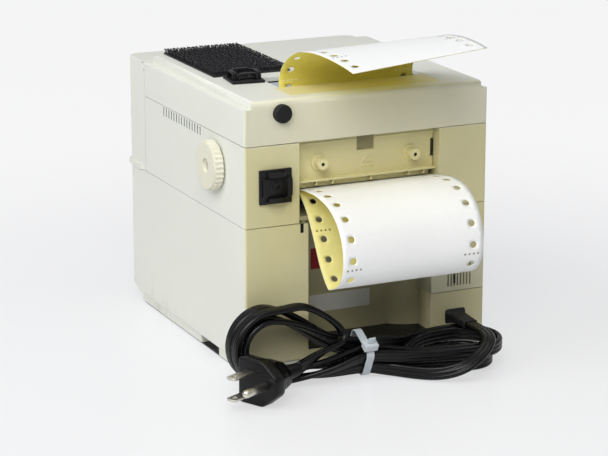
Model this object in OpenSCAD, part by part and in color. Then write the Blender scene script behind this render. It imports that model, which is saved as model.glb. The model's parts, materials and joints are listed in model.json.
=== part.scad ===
// Small impact form printer with pin feed, a hinged front cover and a hinged rear paper door.
// Millimetres, +Z up. The front is towards -Y, the paper enters at the rear (+Y), and the
// paper knob is on the +X side. The origin is on the table, midway between the case's sides.

/* [Case] */
// Width of the case, side to side
case_w = 160; // [150:1:190]
// Depth of the case, front to rear
case_d = 190; // [180:1:230]
// Distance of the rear face from the origin
rear = 89; // [86:0.5:96]
// Height of the lower case's top edge
low_h = 91; // [88:1:105]
// Height of the middle case shell
mid_h = 49; // [47:1:58]
// Height of the top cover, from its seam to the ledge
cover_h = 22; // [20:1:30]
// Height of the raised top above the ledge
step_h = 5; // [2:0.5:8]
// Width of the ledge along each side
ledge_w = 4.6; // [2:0.2:8]
// Wall thickness of the moulded shells
wall = 2.4; // [1.8:0.1:3]
// Visible gap at each seam between shells
seam = 0.4; // [0.2:0.1:0.8]
// Radius of the two front corners, seen from above
front_r = 8; // [4:1:20]
// Radius of the two rear corners
rear_r = 1.5; // [0.8:0.1:4]
// Depth of the front cover, from the front face to its seam
cover_d = 31; // [24:0.5:36]

/* [Base] */
// Thickness of the bottom plate
plate_t = 1.2; // [0.8:0.1:2]
// Height of the recessed plinth, with the bottom plate
plinth_h = 7; // [5:0.5:10]
// How far the plinth steps in at the sides
plinth_in = 1.2; // [0.5:0.1:3]
// How far the plinth lies back from the front face
plinth_back = 19; // [10:0.5:24]
// Length of the sloping underside in front of the plinth
nose_l = 15; // [8:0.5:18]
// Rise of the sloping underside
nose_h = 6.5; // [3:0.5:9]

/* [Rear] */
// Width of the rear opening that the paper door closes
bay_w = 92.8; // [90:0.2:100]
// How far the paper door's face lies in from the rear face
door_in = 8.5; // [6:0.5:12]
// Depth of the lower rear recess
recess_d = 25; // [15:1:30]
// Height of the lower rear recess's floor
recess_z = 12; // [9:1:20]

/* [Paper path] */
// Width of the continuous form
form_w = 88.9; // [76.2:0.1:88.9]
// Thickness of the form, with both its plies
form_t = 0.4; // [0.2:0.1:0.8]
// Distance between sprocket holes, one tooth of the pin wheels
pitch = 12.7; // [12:0.1:13]
// Distance from the form's edge to the sprocket holes
hole_in = 6.35; // [5:0.05:7]
// Radius of the sprocket holes
hole_r = 2; // [1.5:0.1:2.2]
// Radius of the platen roller
platen_r = 11.8; // [11:0.1:12]
// Radius of the platen shaft
shaft_r = 3; // [2.5:0.1:4]
// Diameter of the paper knob
knob_d = 30.4; // [24:0.4:36]
// Thickness of the paper knob
knob_t = 6; // [5:0.5:8]
// Travel of the print head to each side of the middle
head_travel = 24; // [16:1:24]

/* [Fits] */
// Radial clearance of a running shaft in its hole
run_fit = 0.05; // [0.02:0.01:0.1]
// Gap around covers and parts dropped into openings
gap = 0.3; // [0.2:0.05:0.6]

/* [Cord] */
// Width of the flat mains cord
cord_w = 8.2; // [7.8:0.1:8.2]
// Thickness of the flat mains cord
cord_t = 3.6; // [3:0.1:3.7]

/* [Hidden] */

// Planes of the case
hw = case_w / 2;
front = rear - case_d;
z_mid = low_h + mid_h;
z_ledge = z_mid + cover_h;
z_top = z_ledge + step_h;
cover_y = front + cover_d;
floor_z = plate_t + wall;
eps = 0.01;
cream = [0.87, 0.86, 0.80];
beige = [0.84, 0.80, 0.66];
black = [0.08, 0.08, 0.08];
steel = [0.66, 0.67, 0.69];
dark_plastic = [0.18, 0.18, 0.19];

// Paper path: the form is a little off the case's middle
form_x = -2.9;
platen_y = rear - 42.8;
platen_z = low_h + 30;
run_r = platen_r + 0.4;
pin_len = 2.2;
pin_tip = platen_r + pin_len;
track = form_w / 2 - hole_in;
bay_x = -1.5;
bay_l = bay_x - bay_w / 2;
bay_r = bay_x + bay_w / 2;
door_y = rear - door_in;
// Opening for the paper in the top cover
exit_l = form_x - 48.6;
exit_r = form_x + 47.2;
exit_f = rear - 59;
exit_b = rear - 30;
strip_b = rear - 7;
strip_r = exit_r + 3.2;
// Mechanism frames
frame_t = 2;
frame_l = form_x - 63;
frame_r = form_x + 61;
frame_f = platen_y - 94;
frame_b = platen_y + 15.8;
frame_b2 = min(frame_b - 4, rear - recess_d - wall - 1.6);
deck_z = low_h - 27;
deck_t = 1.6;
rod_r = 2;
rod_z = platen_z - 18;
rod_y1 = platen_y - 42.2;
rod_y2 = platen_y - 26.2;
// Gear train, module and tooth counts
module_g = 0.5;
gear_n = 48;
idler_n = 40;
pinion_n = 16;
gear_t = 4;
gear_x = frame_l - 1.2 - gear_t;
idler_a = -110;
idler_y = platen_y + (gear_n + idler_n) / 2 * module_g * cos(idler_a);
idler_z = platen_z + (gear_n + idler_n) / 2 * module_g * sin(idler_a);
pinion_y = idler_y;
pinion_z = idler_z - (idler_n + pinion_n) / 2 * module_g;
// Carriage belt
belt_y = rod_y1 - 18;
belt_z = rod_z - 3;
pulley_r = 6;
pulley_dx = 46;
// Front cover hinge
hinge_r = 2.5;
hinge_y = cover_y - hinge_r;
hinge_z = z_ledge - hinge_r;
hinge_pin_r = 1.5;
ear_in = hw - 12;
ear_t = 4;
// Door hinge
door_t = 2;
door_hinge_y = door_y - door_t / 2;
door_hinge_z = z_mid - 3.4;
door_pin_r = 1.3;
// Interface bay in the lower case, at the rear on the -X side
iface_x = -43.5;
iface_z = 36.5;
iface_h = 21;
iface_y = rear - 17.6;
recess_r = 39;
column_r = 24;
// Power inlet
inlet_x = -60.3;
inlet_z = 20.6;
inlet_w = 12.6;
inlet_h = 8.4;
relief_l = 19.5;

// Smooth step from 0 to 1
function ease(t) = t <= 0 ? 0 : t >= 1 ? 1 : t * t * (3 - 2 * t);

// Plan outline of the case, set in by i: large radii in front, small ones at the rear
module outline(i = 0) {
  x = hw - i;
  y0 = front + i;
  y1 = rear - i;
  rf = max(front_r - i, 0.3);
  rr = max(rear_r - i, 0.3);
  translate([-x, y0 + rf]) square([2 * x, y1 - rr - y0 - rf]);
  translate([-x + rf, y0]) square([2 * (x - rf), rf + 1]);
  translate([-x + rr, y1 - rr - 1]) square([2 * (x - rr), rr + 1]);
  for (s = [-1, 1]) {
    translate([s * (x - rf), y0 + rf]) circle(r = rf, $fn = 96);
    translate([s * (x - rr), y1 - rr]) circle(r = rr, $fn = 32);
  }
}
module slab(i, z0, z1) { translate([0, 0, z0]) linear_extrude(z1 - z0) outline(i); }
module box(x0, x1, y0, y1, z0, z1) { translate([x0, y0, z0]) cube([x1 - x0, y1 - y0, z1 - z0]); }
module rod_x(x0, x1, y, z, r, f = 48) {
  translate([x0, y, z]) rotate([0, 90, 0]) cylinder(r = r, h = x1 - x0, $fn = f);
}
module rod_y(x, y0, y1, z, r, f = 48) {
  translate([x, y0, z]) rotate([-90, 0, 0]) cylinder(r = r, h = y1 - y0, $fn = f);
}
module rod_z(x, y, z0, z1, r, f = 48) { translate([x, y, z0]) cylinder(r = r, h = z1 - z0, $fn = f); }

// The plinth's notches, one on each side
notch_y0 = 17.5;
notch_y1 = 45.5;
notch_in = 6;
module notches(grow = 0) {
  for (s = [-1, 1])
    translate([s * (hw - plinth_in), (notch_y0 + notch_y1) / 2, plate_t + (plinth_h - plate_t) / 2])
      cube([2 * (notch_in + grow), notch_y1 - notch_y0 + 2 * grow, plinth_h - plate_t + 2 * grow + eps],
        center = true);
}

// The black base plate: its flat underside carries the printer
pad_r = 7;
pad_t = 0.6;
pad_x = hw - 18;
pad_y = rear - 26;
module bottom_plate() {
  color(black) difference() {
    intersection() {
      slab(plinth_in + 1, 0, plate_t);
      box(-hw, hw, front + plinth_back + 1, rear, -1, plate_t + 1);
    }
    for (x = [-pad_x, pad_x], y = [-pad_y, pad_y]) rod_z(x, y, -1, pad_t, pad_r + 0.1);
    for (x = [-pad_x + 14, pad_x - 14], y = [-pad_y, pad_y]) rod_z(x, y, -1, plate_t + 1, 1.7);
    for (i = [-5:5]) box(i * 9 - 1.5, i * 9 + 1.5, -20, 20, -1, plate_t + 1);
  }
}
// Anti-slip pads set flush into the base plate
module base_pads() {
  color([0.2, 0.2, 0.21]) for (x = [-pad_x, pad_x], y = [-pad_y, pad_y]) rod_z(x, y, 0, pad_t, pad_r);
}

// Volume of the lower rear recess, with the rounded column left standing at its side
module recess_space(grow = 0) {
  difference() {
    box(iface_x - grow, recess_r + grow, rear - recess_d - grow, rear + 1, recess_z - grow, low_h + 1);
    rod_z(iface_x - 0.5, rear - recess_d - 16, recess_z - grow - 1, low_h + 2, column_r - grow, 96);
  }
}
module interface_space(grow = 0) {
  box(-hw - 1, iface_x + wall + grow, iface_y - grow, rear + 1, iface_z - grow, iface_z + iface_h + grow);
}
button_z = low_h - 13;
button_x = [22, 42];
button_w = 13;
button_h = 7;
lens_x = [-14, -4, 6];
rocker_y = 20;
rocker_z = 34;
module lower_case() {
  color(cream) difference() {
    union() {
      difference() {
        slab(0, plinth_h, low_h - seam / 2);
        // Sloping underside along the front
        translate([-hw - 1, front, plinth_h]) rotate([90, 0, 90]) linear_extrude(case_w + 2)
          polygon([[-1, -1], [nose_l, -1], [nose_l, 0], [0, nose_h], [-1, nose_h]]);
      }
      intersection() {
        slab(plinth_in, plate_t, plinth_h + eps);
        box(-hw, hw, front + plinth_back, rear, 0, plinth_h + 1);
      }
    }
    difference() {
      slab(wall, floor_z, low_h + 1);
      notches(wall);
      recess_space(wall);
      translate([-hw, front, plinth_h]) rotate([90, 0, 90]) linear_extrude(case_w)
        polygon([[0, -plinth_h], [plinth_back + wall, -plinth_h], [plinth_back + wall, wall], [nose_l, wall],
          [0, nose_h + wall]]);
      box(-hw, iface_x + wall + 2.4, rear - 9, rear, iface_z - wall, iface_z);
      // Screw posts for the base plate
      for (x = [-pad_x + 14, pad_x - 14], y = [-pad_y, pad_y])
        rod_z(x, y, 0, floor_z + 6, 3.4);
    }
    recess_space();
    interface_space(seam / 2);
    notches();
    for (x = [-pad_x + 14, pad_x - 14], y = [-pad_y, pad_y]) rod_z(x, y, 0, floor_z + 5, 1.2);
    box(inlet_x - inlet_w / 2, inlet_x + inlet_w / 2, rear - wall - 1, rear + 1,
      inlet_z - inlet_h / 2, inlet_z + inlet_h / 2);
    for (x = button_x) box(x - button_w / 2, x + button_w / 2, front - 1, front + wall + 1,
      button_z - button_h / 2, button_z + button_h / 2);
    for (x = lens_x) rod_y(x, front - 1, front + wall + 1, button_z, 1.6);
    box(-hw - 1, -hw + wall + 1, rocker_y - 6.2, rocker_y + 6.2, rocker_z - 10.4, rocker_z + 10.4);
  }
}
// Printed steel tray on the recess floor
module recess_plate() {
  color([0.14, 0.14, 0.13]) difference() {
    box(iface_x + gap, recess_r - gap, rear - recess_d + gap, rear - 1, recess_z, recess_z + 1);
    rod_z(iface_x - 0.5, rear - recess_d - 16, 0, low_h, column_r + gap, 96);
  }
}
// Removable cover over the interface connectors, with a ribbed panel
rib_x0 = -70.7;
rib_x1 = -54.7;
module interface_cover() {
  z0 = iface_z + seam / 2;
  z1 = iface_z + iface_h - seam / 2;
  color(cream) {
    difference() {
      intersection() {
        slab(0, z0, z1);
        box(-hw, iface_x, iface_y, rear, z0, z1);
      }
      box(-hw + wall, iface_x - wall, iface_y - 1, rear - wall, z0 + wall, z1 - wall);
      for (i = [0:7]) box(rib_x0 + i * 2.15, rib_x0 + i * 2.15 + 1, rear - 0.8, rear + 1, z0 + 3, z1 - 3);
      box(-60.2, -58.6, rear - wall - 1, rear + 1, iface_z + 5, iface_z + 11);
    }
  }
}
// Interface board and its connector, behind the cover
module interface_board() {
  color([0.12, 0.32, 0.2]) difference() {
    box(-hw + wall + 3, iface_x - wall - 3, iface_y - 34, rear - wall - 4, iface_z + 5, iface_z + 6.6);
    rod_z(iface_x - 0.5, rear - recess_d - 16, 0, 60, column_r + 0.6, 96);
  }
  color([0.75, 0.75, 0.72]) box(-72, -54, rear - wall - 12, rear - wall - 3, iface_z + 6.6, iface_z + 14);
}
// Cord entry with its moulded strain relief
module power_inlet() {
  color(black) {
    box(inlet_x - inlet_w / 2 + 0.1, inlet_x + inlet_w / 2 - 0.1, rear - wall - 0.8, rear + 0.3,
      inlet_z - inlet_h / 2 + 0.1, inlet_z + inlet_h / 2 - 0.1);
    box(inlet_x - 8, inlet_x + 8, rear - wall - 6, rear - wall - 0.8, inlet_z - 6, inlet_z + 6);
    translate([inlet_x, rear + 0.3, inlet_z]) rotate([-90, 0, 0])
      linear_extrude(relief_l - 0.3, scale = [0.86, 0.74]) square([11, 5.4], center = true);
  }
}

vent_n = 15;
vent_pitch = 4.22;
vent_w = 1.2;
vent_y0 = -37;
module side_tongues(z) {
  for (s = [-1, 1]) translate([s * (hw - wall - gap - 0.6), -2, z]) {
    translate([-0.6, -58, -4]) cube([1.2, 116, 8]);
    translate([-0.6 - (s < 0 ? gap + 0.1 : 0), -58, 0.6]) cube([1.3 + gap, 116, 3.4]);
  }
}
module mid_case() {
  z0 = low_h + seam / 2;
  z1 = z_mid - seam / 2;
  color(cream) {
    difference() {
      slab(0, z0, z1);
      difference() {
        slab(wall, z0 - 1, z1 + 1);
        box(bay_l - wall, bay_r + wall, rear - 15, rear, z0 - 2, z1 + 2);
      }
      box(-hw - 1, hw + 1, front - 1, cover_y + seam, z0 - 1, z1 + 1);
      box(bay_l, bay_r, rear - 16, rear + 1, z0 - 1, z1 + 1);
      for (s = [-1, 1], i = [0:vent_n - 1])
        translate([s * hw, vent_y0 + i * vent_pitch, z1 - 3.2]) cube([3 * wall, vent_w, 5.4], center = true);
      rod_x(hw - wall - 1, hw + 1, platen_y, platen_z, shaft_r + 1.5);
      // Holes for the door's stub pins
      rod_x(bay_l - 2, bay_r + 2, door_hinge_y, door_hinge_z, door_pin_r + run_fit);
      // Small catch slot by the door
    }
    // Sill under the paper entry
    box(bay_l - 1, bay_r + 1, rear - recess_d - 2, rear - 5, z0, z0 + wall);
    side_tongues(z0);
  }
}
module top_cover() {
  z0 = z_mid + seam / 2;
  top_t = wall;
  color(cream) {
    difference() {
      union() {
        slab(0, z0, z_ledge);
        intersection() {
          slab(0, z_ledge - eps, z_top);
          box(-hw + ledge_w, hw - ledge_w, cover_y + 3, rear, 0, z_top + 1);
        }
      }
      difference() {
        slab(wall, z0 - 1, z_ledge - top_t);
        // Rib that stiffens the paper exit
        box(exit_l - 8, strip_r + 6, strip_b - 2, strip_b, z_mid + 6, z_ledge);
      }
      intersection() {
        slab(ledge_w + wall, z_ledge - top_t - eps, z_top - top_t);
        box(-hw + ledge_w + wall, hw - ledge_w - wall, cover_y + 3 + wall, rear, 0, z_top);
      }
      box(-hw - 1, hw + 1, front - 1, cover_y + seam, z0 - 1, z_top + 1);
      box(exit_l, exit_r, exit_f, exit_b, z_mid, z_top + 1);
      box(exit_l, strip_r, exit_b - eps, strip_b, z_top - 1.6, z_top + 1);
    }
    side_tongues(z0);
    // Hinge ears for the front cover
    for (s = [-1, 1]) difference() {
      union() {
        rod_x(s * ear_in - ear_t / 2, s * ear_in + ear_t / 2, hinge_y, hinge_z, hinge_r);
        box(s * ear_in - ear_t / 2, s * ear_in + ear_t / 2, hinge_y, cover_y + seam + 1,
          hinge_z - hinge_r, hinge_z + hinge_r);
      }
      rod_x(s * ear_in - ear_t, s * ear_in + ear_t, hinge_y, hinge_z, hinge_pin_r);
    }
  }
}
// Lift-up front cover with a finger lip along its lower edge
lip_out = 1.6;
module front_cover() {
  z0 = low_h + seam / 2;
  color(cream) difference() {
    union() {
      difference() {
        slab(0, z0, z_ledge);
        slab(wall, z0 - 1, z_ledge - wall);
        box(-hw - 1, hw + 1, cover_y, rear + 1, z0 - 1, z_ledge + 1);
        box(-hw - 1, hw + 1, hinge_y, rear + 1, hinge_z - hinge_r - 0.5, z_ledge + 1);
      }
      difference() {
        slab(-lip_out, z0, z0 + 3);
        slab(wall, z0 - 1, z0 + 4);
        box(-case_w, case_w, cover_y - 5, rear + 9, z0 - 1, z0 + 4);
      }
      rod_x(-ear_in + ear_t / 2 + gap, ear_in - ear_t / 2 - gap, hinge_y, hinge_z, hinge_r);
      box(-ear_in + ear_t / 2 + gap, ear_in - ear_t / 2 - gap, hinge_y - 3, hinge_y, z_ledge - wall, z_ledge);
    }
    rod_x(-hw, hw, hinge_y, hinge_z, hinge_pin_r + run_fit);
    for (s = [-1, 1]) box(s * ear_in - ear_t / 2 - gap, s * ear_in + ear_t / 2 + gap,
      hinge_y - hinge_r - gap - 0.5, cover_y + 1, hinge_z - hinge_r - 2, z_ledge + 1);
  }
}
module front_hinge_pin() {
  color(steel) rod_x(-ear_in - ear_t / 2, ear_in + ear_t / 2, hinge_y, hinge_z, hinge_pin_r);
}

boss_x = [bay_x + 30.7, bay_x - 30.4];
boss_z = z_mid - 15;
boss_l = 8;
door_rib_x = [31.5, 20.8, -4.6, -29.9, -40.1];
// Rear paper door with its two bosses, finger notch, raised arrow and lower lip
module rear_door() {
  z0 = z_mid - 26;
  z1 = z_mid - 1.8;
  xa = bay_l + gap + 0.1;
  xb = bay_r - gap - 0.1;
  color(beige) difference() {
    union() {
      box(xa, xb, door_y - door_t, door_y, z0, z1);
      box(xa, xb, door_y - door_t, door_y + 4, z0, z0 + 1.4);
      for (x = door_rib_x) box(x - 0.5, x + 0.5, door_y - door_t, door_y + 3.6, z0 - 1.6, z0 + eps);
      for (x = boss_x) {
        rod_y(x, door_y - eps, door_y + boss_l, boss_z, 3.4);
        rod_y(x, door_y - eps, door_y + 1.6, boss_z, 4.8);
      }
      rod_x(xa - 1.8, xb + 1.8, door_hinge_y, door_hinge_z, door_pin_r);
      // Plain arrow that shows which way the door lifts
      translate([bay_x - 2, door_y - eps, z_mid - 14]) rotate([90, 0, 0]) mirror([0, 0, 1])
        linear_extrude(0.6) difference() {
          polygon([[-4, -4.2], [4, -4.2], [0, 0.6]]);
          polygon([[-2.6, -3.4], [2.6, -3.4], [0, -0.7]]);
        }
      box(bay_x - 6, bay_x + 2, door_y - eps, door_y + 0.5, z_mid - 21, z_mid - 20);
    }
    for (x = boss_x) rod_y(x, door_y + 1, door_y + boss_l + 1, boss_z, 1.1);
    box(-8, 3.5, door_y - 1, door_y + 1, z_mid - 10.6, z1 + 1);
    box(xa - 1, xa + 1.6, door_y - door_t - 1, door_y + 1, z_mid - 19, z_mid - 8);
  }
}
module exit_strip() {
  color(beige) box(exit_l + gap / 2, strip_r - gap / 2, exit_b, strip_b - gap / 2, z_top - 1.6, z_top - 0.05);
}

// Mechanism side frames and deck
module frame_holes(x) {
  rod_x(x - 1, x + frame_t + 1, platen_y, platen_z, 5);
  for (y = [rod_y1, rod_y2]) rod_x(x - 1, x + frame_t + 1, y, rod_z, rod_r);
}
module frame_shape(x) {
  difference() {
    union() {
      box(x, x + frame_t, frame_f, frame_b, deck_z, rod_z + 8);
      box(x, x + frame_t, platen_y - 14, frame_b, rod_z, platen_z + 12);
    }
    frame_holes(x);
  }
}
module left_frame() {
  color(steel) difference() {
    frame_shape(frame_l);
    rod_x(frame_l - 1, frame_l + frame_t + 1, idler_y, idler_z, 2);
    rod_x(frame_l - 1, frame_l + frame_t + 1, pinion_y, pinion_z, 5);
  }
}
module right_frame() { color(steel) frame_shape(frame_r); }
module deck_plate() {
  color(steel) difference() {
    box(frame_l + frame_t, frame_r, frame_f, frame_b2, deck_z, deck_z + deck_t);
    for (x = [-30, 0, 20]) rod_z(x, -20, deck_z - 1, deck_z + deck_t + 1, 8);
    for (x = post_x, y = post_y) rod_z(x, y, deck_z - 1, deck_z + deck_t + 1, 1.5);
  }
}
post_x = [frame_l + 14, frame_r - 10];
post_y = [frame_f + 12, frame_b2 - 12];
module deck_posts() {
  color(steel) for (x = post_x, y = post_y) difference() {
    union() {
      rod_z(x, y, floor_z, deck_z, 3);
      rod_z(x, y, floor_z, floor_z + 8, 5);
      rod_z(x, y, deck_z, deck_z + deck_t + 2, 1.5);
      rod_z(x, y, deck_z + deck_t, deck_z + deck_t + 2, 3);
    }
    rod_z(x, y, 0, floor_z + 7, 1.25);
  }
}

// Platen, its shaft and what turns with it
module platen_roller() {
  color([0.12, 0.12, 0.13]) difference() {
    rod_x(form_x - 32, form_x + 32, platen_y, platen_z, platen_r, 96);
    rod_x(form_x - 33, form_x + 33, platen_y, platen_z, shaft_r);
  }
}
knob_gap = 1;
module platen_shaft() {
  color(steel) rod_x(gear_x, hw + knob_gap + knob_t - 2, platen_y, platen_z, shaft_r);
}
knob_teeth = 30;
module platen_knob() {
  r = knob_d / 2;
  ribs = [for (i = [0:4 * knob_teeth - 1]) let (a = i * 90 / knob_teeth, q = i % 4 < 2 ? r : r - 0.7)
    [q * cos(a), q * sin(a)]];
  color(cream) translate([hw + knob_gap, platen_y, platen_z]) rotate([0, 90, 0]) difference() {
    union() {
      linear_extrude(knob_t - 1) polygon(ribs);
      cylinder(r = r - 1, h = knob_t, $fn = 96);
    }
    translate([0, 0, -1]) cylinder(r = shaft_r, h = knob_t, $fn = 48);
    translate([0, 0, knob_t - 2]) cylinder(r = 4.5, h = 3, $fn = 48);
  }
}
module pin_wheels() {
  color([0.9, 0.9, 0.86]) for (s = [-1, 1]) translate([form_x + s * track, platen_y, platen_z])
    rotate([0, 90, 0]) {
      difference() {
        cylinder(r = platen_r, h = 8, center = true, $fn = 96);
        cylinder(r = shaft_r, h = 10, center = true, $fn = 48);
      }
      for (a = [0:60:300]) rotate([0, 0, a]) translate([platen_r - 0.5, 0, 0]) rotate([0, 90, 0])
        cylinder(r = 1.4, h = pin_len + 0.5, $fn = 24);
    }
}
// Spur gear outline: straight-sided teeth, narrow enough to run freely
function gear_pts(n) = let (rp = n * module_g / 2, ro = rp + 0.42, ri = rp - 0.58, w = 360 / n)
  [for (i = [0:n - 1], p = [[-0.27, ri], [-0.12, ro], [0.12, ro], [0.27, ri]])
    [p[1] * cos((i + p[0]) * w), p[1] * sin((i + p[0]) * w)]];
module gear(n, y, z, turn, bore) {
  translate([gear_x, y, z]) rotate([90, 0, 90]) rotate([0, 0, turn]) linear_extrude(gear_t)
    difference() {
      polygon(gear_pts(n));
      circle(r = bore, $fn = 48);
    }
}
// Turn that puts a gap of the second gear on a tooth of the first, along direction a
function mesh_turn(n1, turn1, n2, a) =
  let (off = (a - turn1) - round((a - turn1) * n1 / 360) * 360 / n1) a + 180 + off * n1 / n2 + 180 / n2;
idler_turn = mesh_turn(gear_n, 0, idler_n, idler_a);
pinion_turn = mesh_turn(idler_n, idler_turn, pinion_n, -90);
module platen_gear() { color([0.93, 0.93, 0.9]) gear(gear_n, platen_y, platen_z, 0, shaft_r); }
module idler_gear() { color([0.93, 0.93, 0.9]) gear(idler_n, idler_y, idler_z, idler_turn, 2 + run_fit); }
module motor_pinion() { color([0.8, 0.68, 0.35]) gear(pinion_n, pinion_y, pinion_z, pinion_turn, 1.5 + run_fit); }
module idler_stud() {
  color(steel) {
    rod_x(gear_x - 1.5, frame_l + frame_t, idler_y, idler_z, 2);
    rod_x(gear_x - 1.5, gear_x - 0.4, idler_y, idler_z, 3.2);
  }
}
module shaft_bushes() {
  color([0.75, 0.6, 0.35]) for (x = [frame_l, frame_r]) difference() {
    union() {
      rod_x(x, x + frame_t, platen_y, platen_z, 5);
      rod_x(x + (x < 0 ? frame_t : -1.2), x + (x < 0 ? frame_t + 1.2 : 0), platen_y, platen_z, 6.5);
    }
    rod_x(x - 2, x + frame_t + 2, platen_y, platen_z, shaft_r + run_fit);
  }
}
motor_r = 18;
module feed_motor() {
  color(steel) {
    rod_x(frame_l + frame_t, frame_l + frame_t + 19, pinion_y, pinion_z, motor_r, 64);
    rod_x(gear_x, frame_l + frame_t, pinion_y, pinion_z, 1.5);
  }
}

// Print head and what carries it
module guide_rods() {
  color([0.8, 0.81, 0.83]) for (y = [rod_y1, rod_y2]) rod_x(frame_l, frame_r + frame_t, y, rod_z, rod_r);
}
module carriage() {
  color(dark_plastic) difference() {
    union() {
      box(form_x - 12, form_x + 12, rod_y1 - 10, rod_y2 + 6, rod_z - 6, rod_z + 6);
      box(form_x - 9, form_x + 9, rod_y1 - 8, rod_y2, rod_z + 6, rod_z + 8.8);
    }
    for (y = [rod_y1, rod_y2]) rod_x(form_x - 13, form_x + 13, y, rod_z, rod_r + run_fit);
  }
}
nose_y = platen_y - run_r - form_t - 1;
module print_head() {
  z0 = rod_z + 8.8;
  color([0.3, 0.31, 0.33]) {
    difference() {
      box(form_x - 9, form_x + 9, rod_y1 - 10, rod_y1 + 10, z0, z0 + 19);
      for (i = [0:4]) box(form_x - 10, form_x + 10, rod_y1 - 8 + 3.4 * i, rod_y1 - 6.4 + 3.4 * i, z0 + 8, z0 + 20);
    }
    box(form_x - 4, form_x + 4, rod_y1 + 9, nose_y - 4, z0 + 2, z0 + 15);
    rod_y(form_x, nose_y - 5, nose_y, platen_z, 3.4);
  }
}
module belt_path(r) {
  for (s = [-1, 1]) translate([form_x + s * pulley_dx, belt_y]) circle(r = r, $fn = 64);
  translate([form_x - pulley_dx, belt_y - r]) square([2 * pulley_dx, 2 * r]);
}
module carriage_belt() {
  color([0.1, 0.1, 0.1]) translate([0, 0, belt_z]) linear_extrude(5) difference() {
    belt_path(pulley_r + gap + 1.2);
    belt_path(pulley_r + gap);
  }
}
module pulley(x) {
  color([0.85, 0.85, 0.8]) difference() {
    union() {
      rod_z(x, belt_y, belt_z - 0.6, belt_z + 5.6, pulley_r);
      rod_z(x, belt_y, belt_z - 2, belt_z - 0.6, pulley_r + 1.6);
    }
    rod_z(x, belt_y, belt_z - 3, belt_z + 7, 1.5 + run_fit);
    translate([x + 4, belt_y, belt_z + 4]) cylinder(r = 0.8, h = 3, $fn = 24);
  }
}
module belt_drive_pulley() { pulley(form_x - pulley_dx); }
module belt_idle_pulley() { pulley(form_x + pulley_dx); }
module belt_stud() {
  color(steel) {
    rod_z(form_x + pulley_dx, belt_y, deck_z + deck_t, belt_z + 6.4, 1.5);
    rod_z(form_x + pulley_dx, belt_y, deck_z + deck_t, belt_z - 2.4, 4);
  }
}
module carriage_motor() {
  color(steel) {
    rod_z(form_x - pulley_dx, belt_y, deck_z + deck_t, belt_z - 4, 13, 64);
    rod_z(form_x - pulley_dx, belt_y, belt_z - 4, belt_z + 6.4, 1.5);
  }
}
ribbon_z0 = rod_z + 11;
ribbon_y0 = platen_y - 90;
ribbon_y1 = platen_y - 66;
arm_in = 34;
winder_x = -45;
module ribbon_cassette() {
  color([0.13, 0.13, 0.14]) difference() {
    union() {
      box(frame_l + frame_t, frame_r, ribbon_y0, ribbon_y1, ribbon_z0 - 5, ribbon_z0 + 12);
      for (s = [-1, 1]) translate([form_x + s * (arm_in + 1.1), 0, 0])
        box(-1.1, 1.1, ribbon_y1 - 1, nose_y + 0.5, ribbon_z0, ribbon_z0 + 12);
    }
    rod_z(winder_x, ribbon_y0 + 12, ribbon_z0 + 4, ribbon_z0 + 13, 2.5 + run_fit);
  }
}
module ribbon_band() {
  color([0.05, 0.05, 0.08])
    box(form_x - arm_in - 2.2, form_x + arm_in + 2.2, nose_y + 0.5, nose_y + 0.7, ribbon_z0 + 1, ribbon_z0 + 11);
}
module ribbon_knob() {
  z = ribbon_z0 + 12.3;
  pts = [for (i = [0:47]) let (q = i % 4 < 2 ? 7 : 6.2) [q * cos(i * 7.5), q * sin(i * 7.5)]];
  color([0.85, 0.85, 0.8]) translate([winder_x, ribbon_y0 + 12, 0]) {
    translate([0, 0, z]) linear_extrude(3.5) polygon(pts);
    translate([0, 0, ribbon_z0 + 5]) cylinder(r = 2.5, h = 8, $fn = 48);
  }
}
module entry_chute() {
  color(dark_plastic) box(frame_l + frame_t, frame_r, platen_y + 6, frame_b,
    platen_z - run_r - 3.2, platen_z - run_r - 2);
}

// Electronics
board_z = floor_z + 8;
board_f = frame_f + 4;
module main_board() {
  color([0.12, 0.34, 0.2]) difference() {
    box(-hw + 12, hw - 12, board_f, frame_b2 - 6, board_z, board_z + 1.6);
    for (x = post_x, y = post_y) rod_z(x, y, 0, 60, 3 + gap);
  }
}
module board_chips() {
  color([0.1, 0.1, 0.11]) {
    for (i = [0:3]) box(-30 + i * 18, -20 + i * 18, -12, 18, board_z + 1.6, board_z + 5);
    box(20, 34, 26, 40, board_z + 1.6, board_z + 4.6);
    for (i = [0:2]) rod_z(-34 + i * 14, 33, board_z + 1.6, board_z + 18, 5);
  }
}
module transformer() {
  color([0.35, 0.35, 0.37]) box(-43.5, -5.5, -76, -62, floor_z, floor_z + 34);
  color([0.75, 0.55, 0.2]) box(-36.5, -12.5, -78.5, -59.5, floor_z + 8, floor_z + 26);
}

// Controls
module rocker_bezel() {
  x = -hw;
  color(black) difference() {
    union() {
      box(x - 1.2, x, rocker_y - 8, rocker_y + 8, rocker_z - 12.4, rocker_z + 12.4);
      box(x - eps, x + 9, rocker_y - 6.1, rocker_y + 6.1, rocker_z - 10.3, rocker_z + 10.3);
    }
    box(x - 2, x + 8, rocker_y - 5.1, rocker_y + 5.1, rocker_z - 9.3, rocker_z + 9.3);
    rod_y(x + 4, rocker_y - 6.1, rocker_y + 6.1, rocker_z, 1 + run_fit);
  }
}
rocker_tilt = 8;
module power_rocker() {
  color([0.1, 0.1, 0.1]) translate([-hw + 4, rocker_y, rocker_z]) rotate([0, rocker_tilt, 0]) {
    rotate([90, 0, 0]) translate([0, 0, -4.8]) linear_extrude(9.6)
      polygon([[-4.6, 0], [-6.4, 8], [-2, 8], [2, 2.4], [2, -2.4], [-2, -8], [-6.4, -8]]);
    rotate([90, 0, 0]) translate([0, 0, -5.8]) cylinder(r = 1, h = 11.6, $fn = 32);
  }
}
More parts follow.
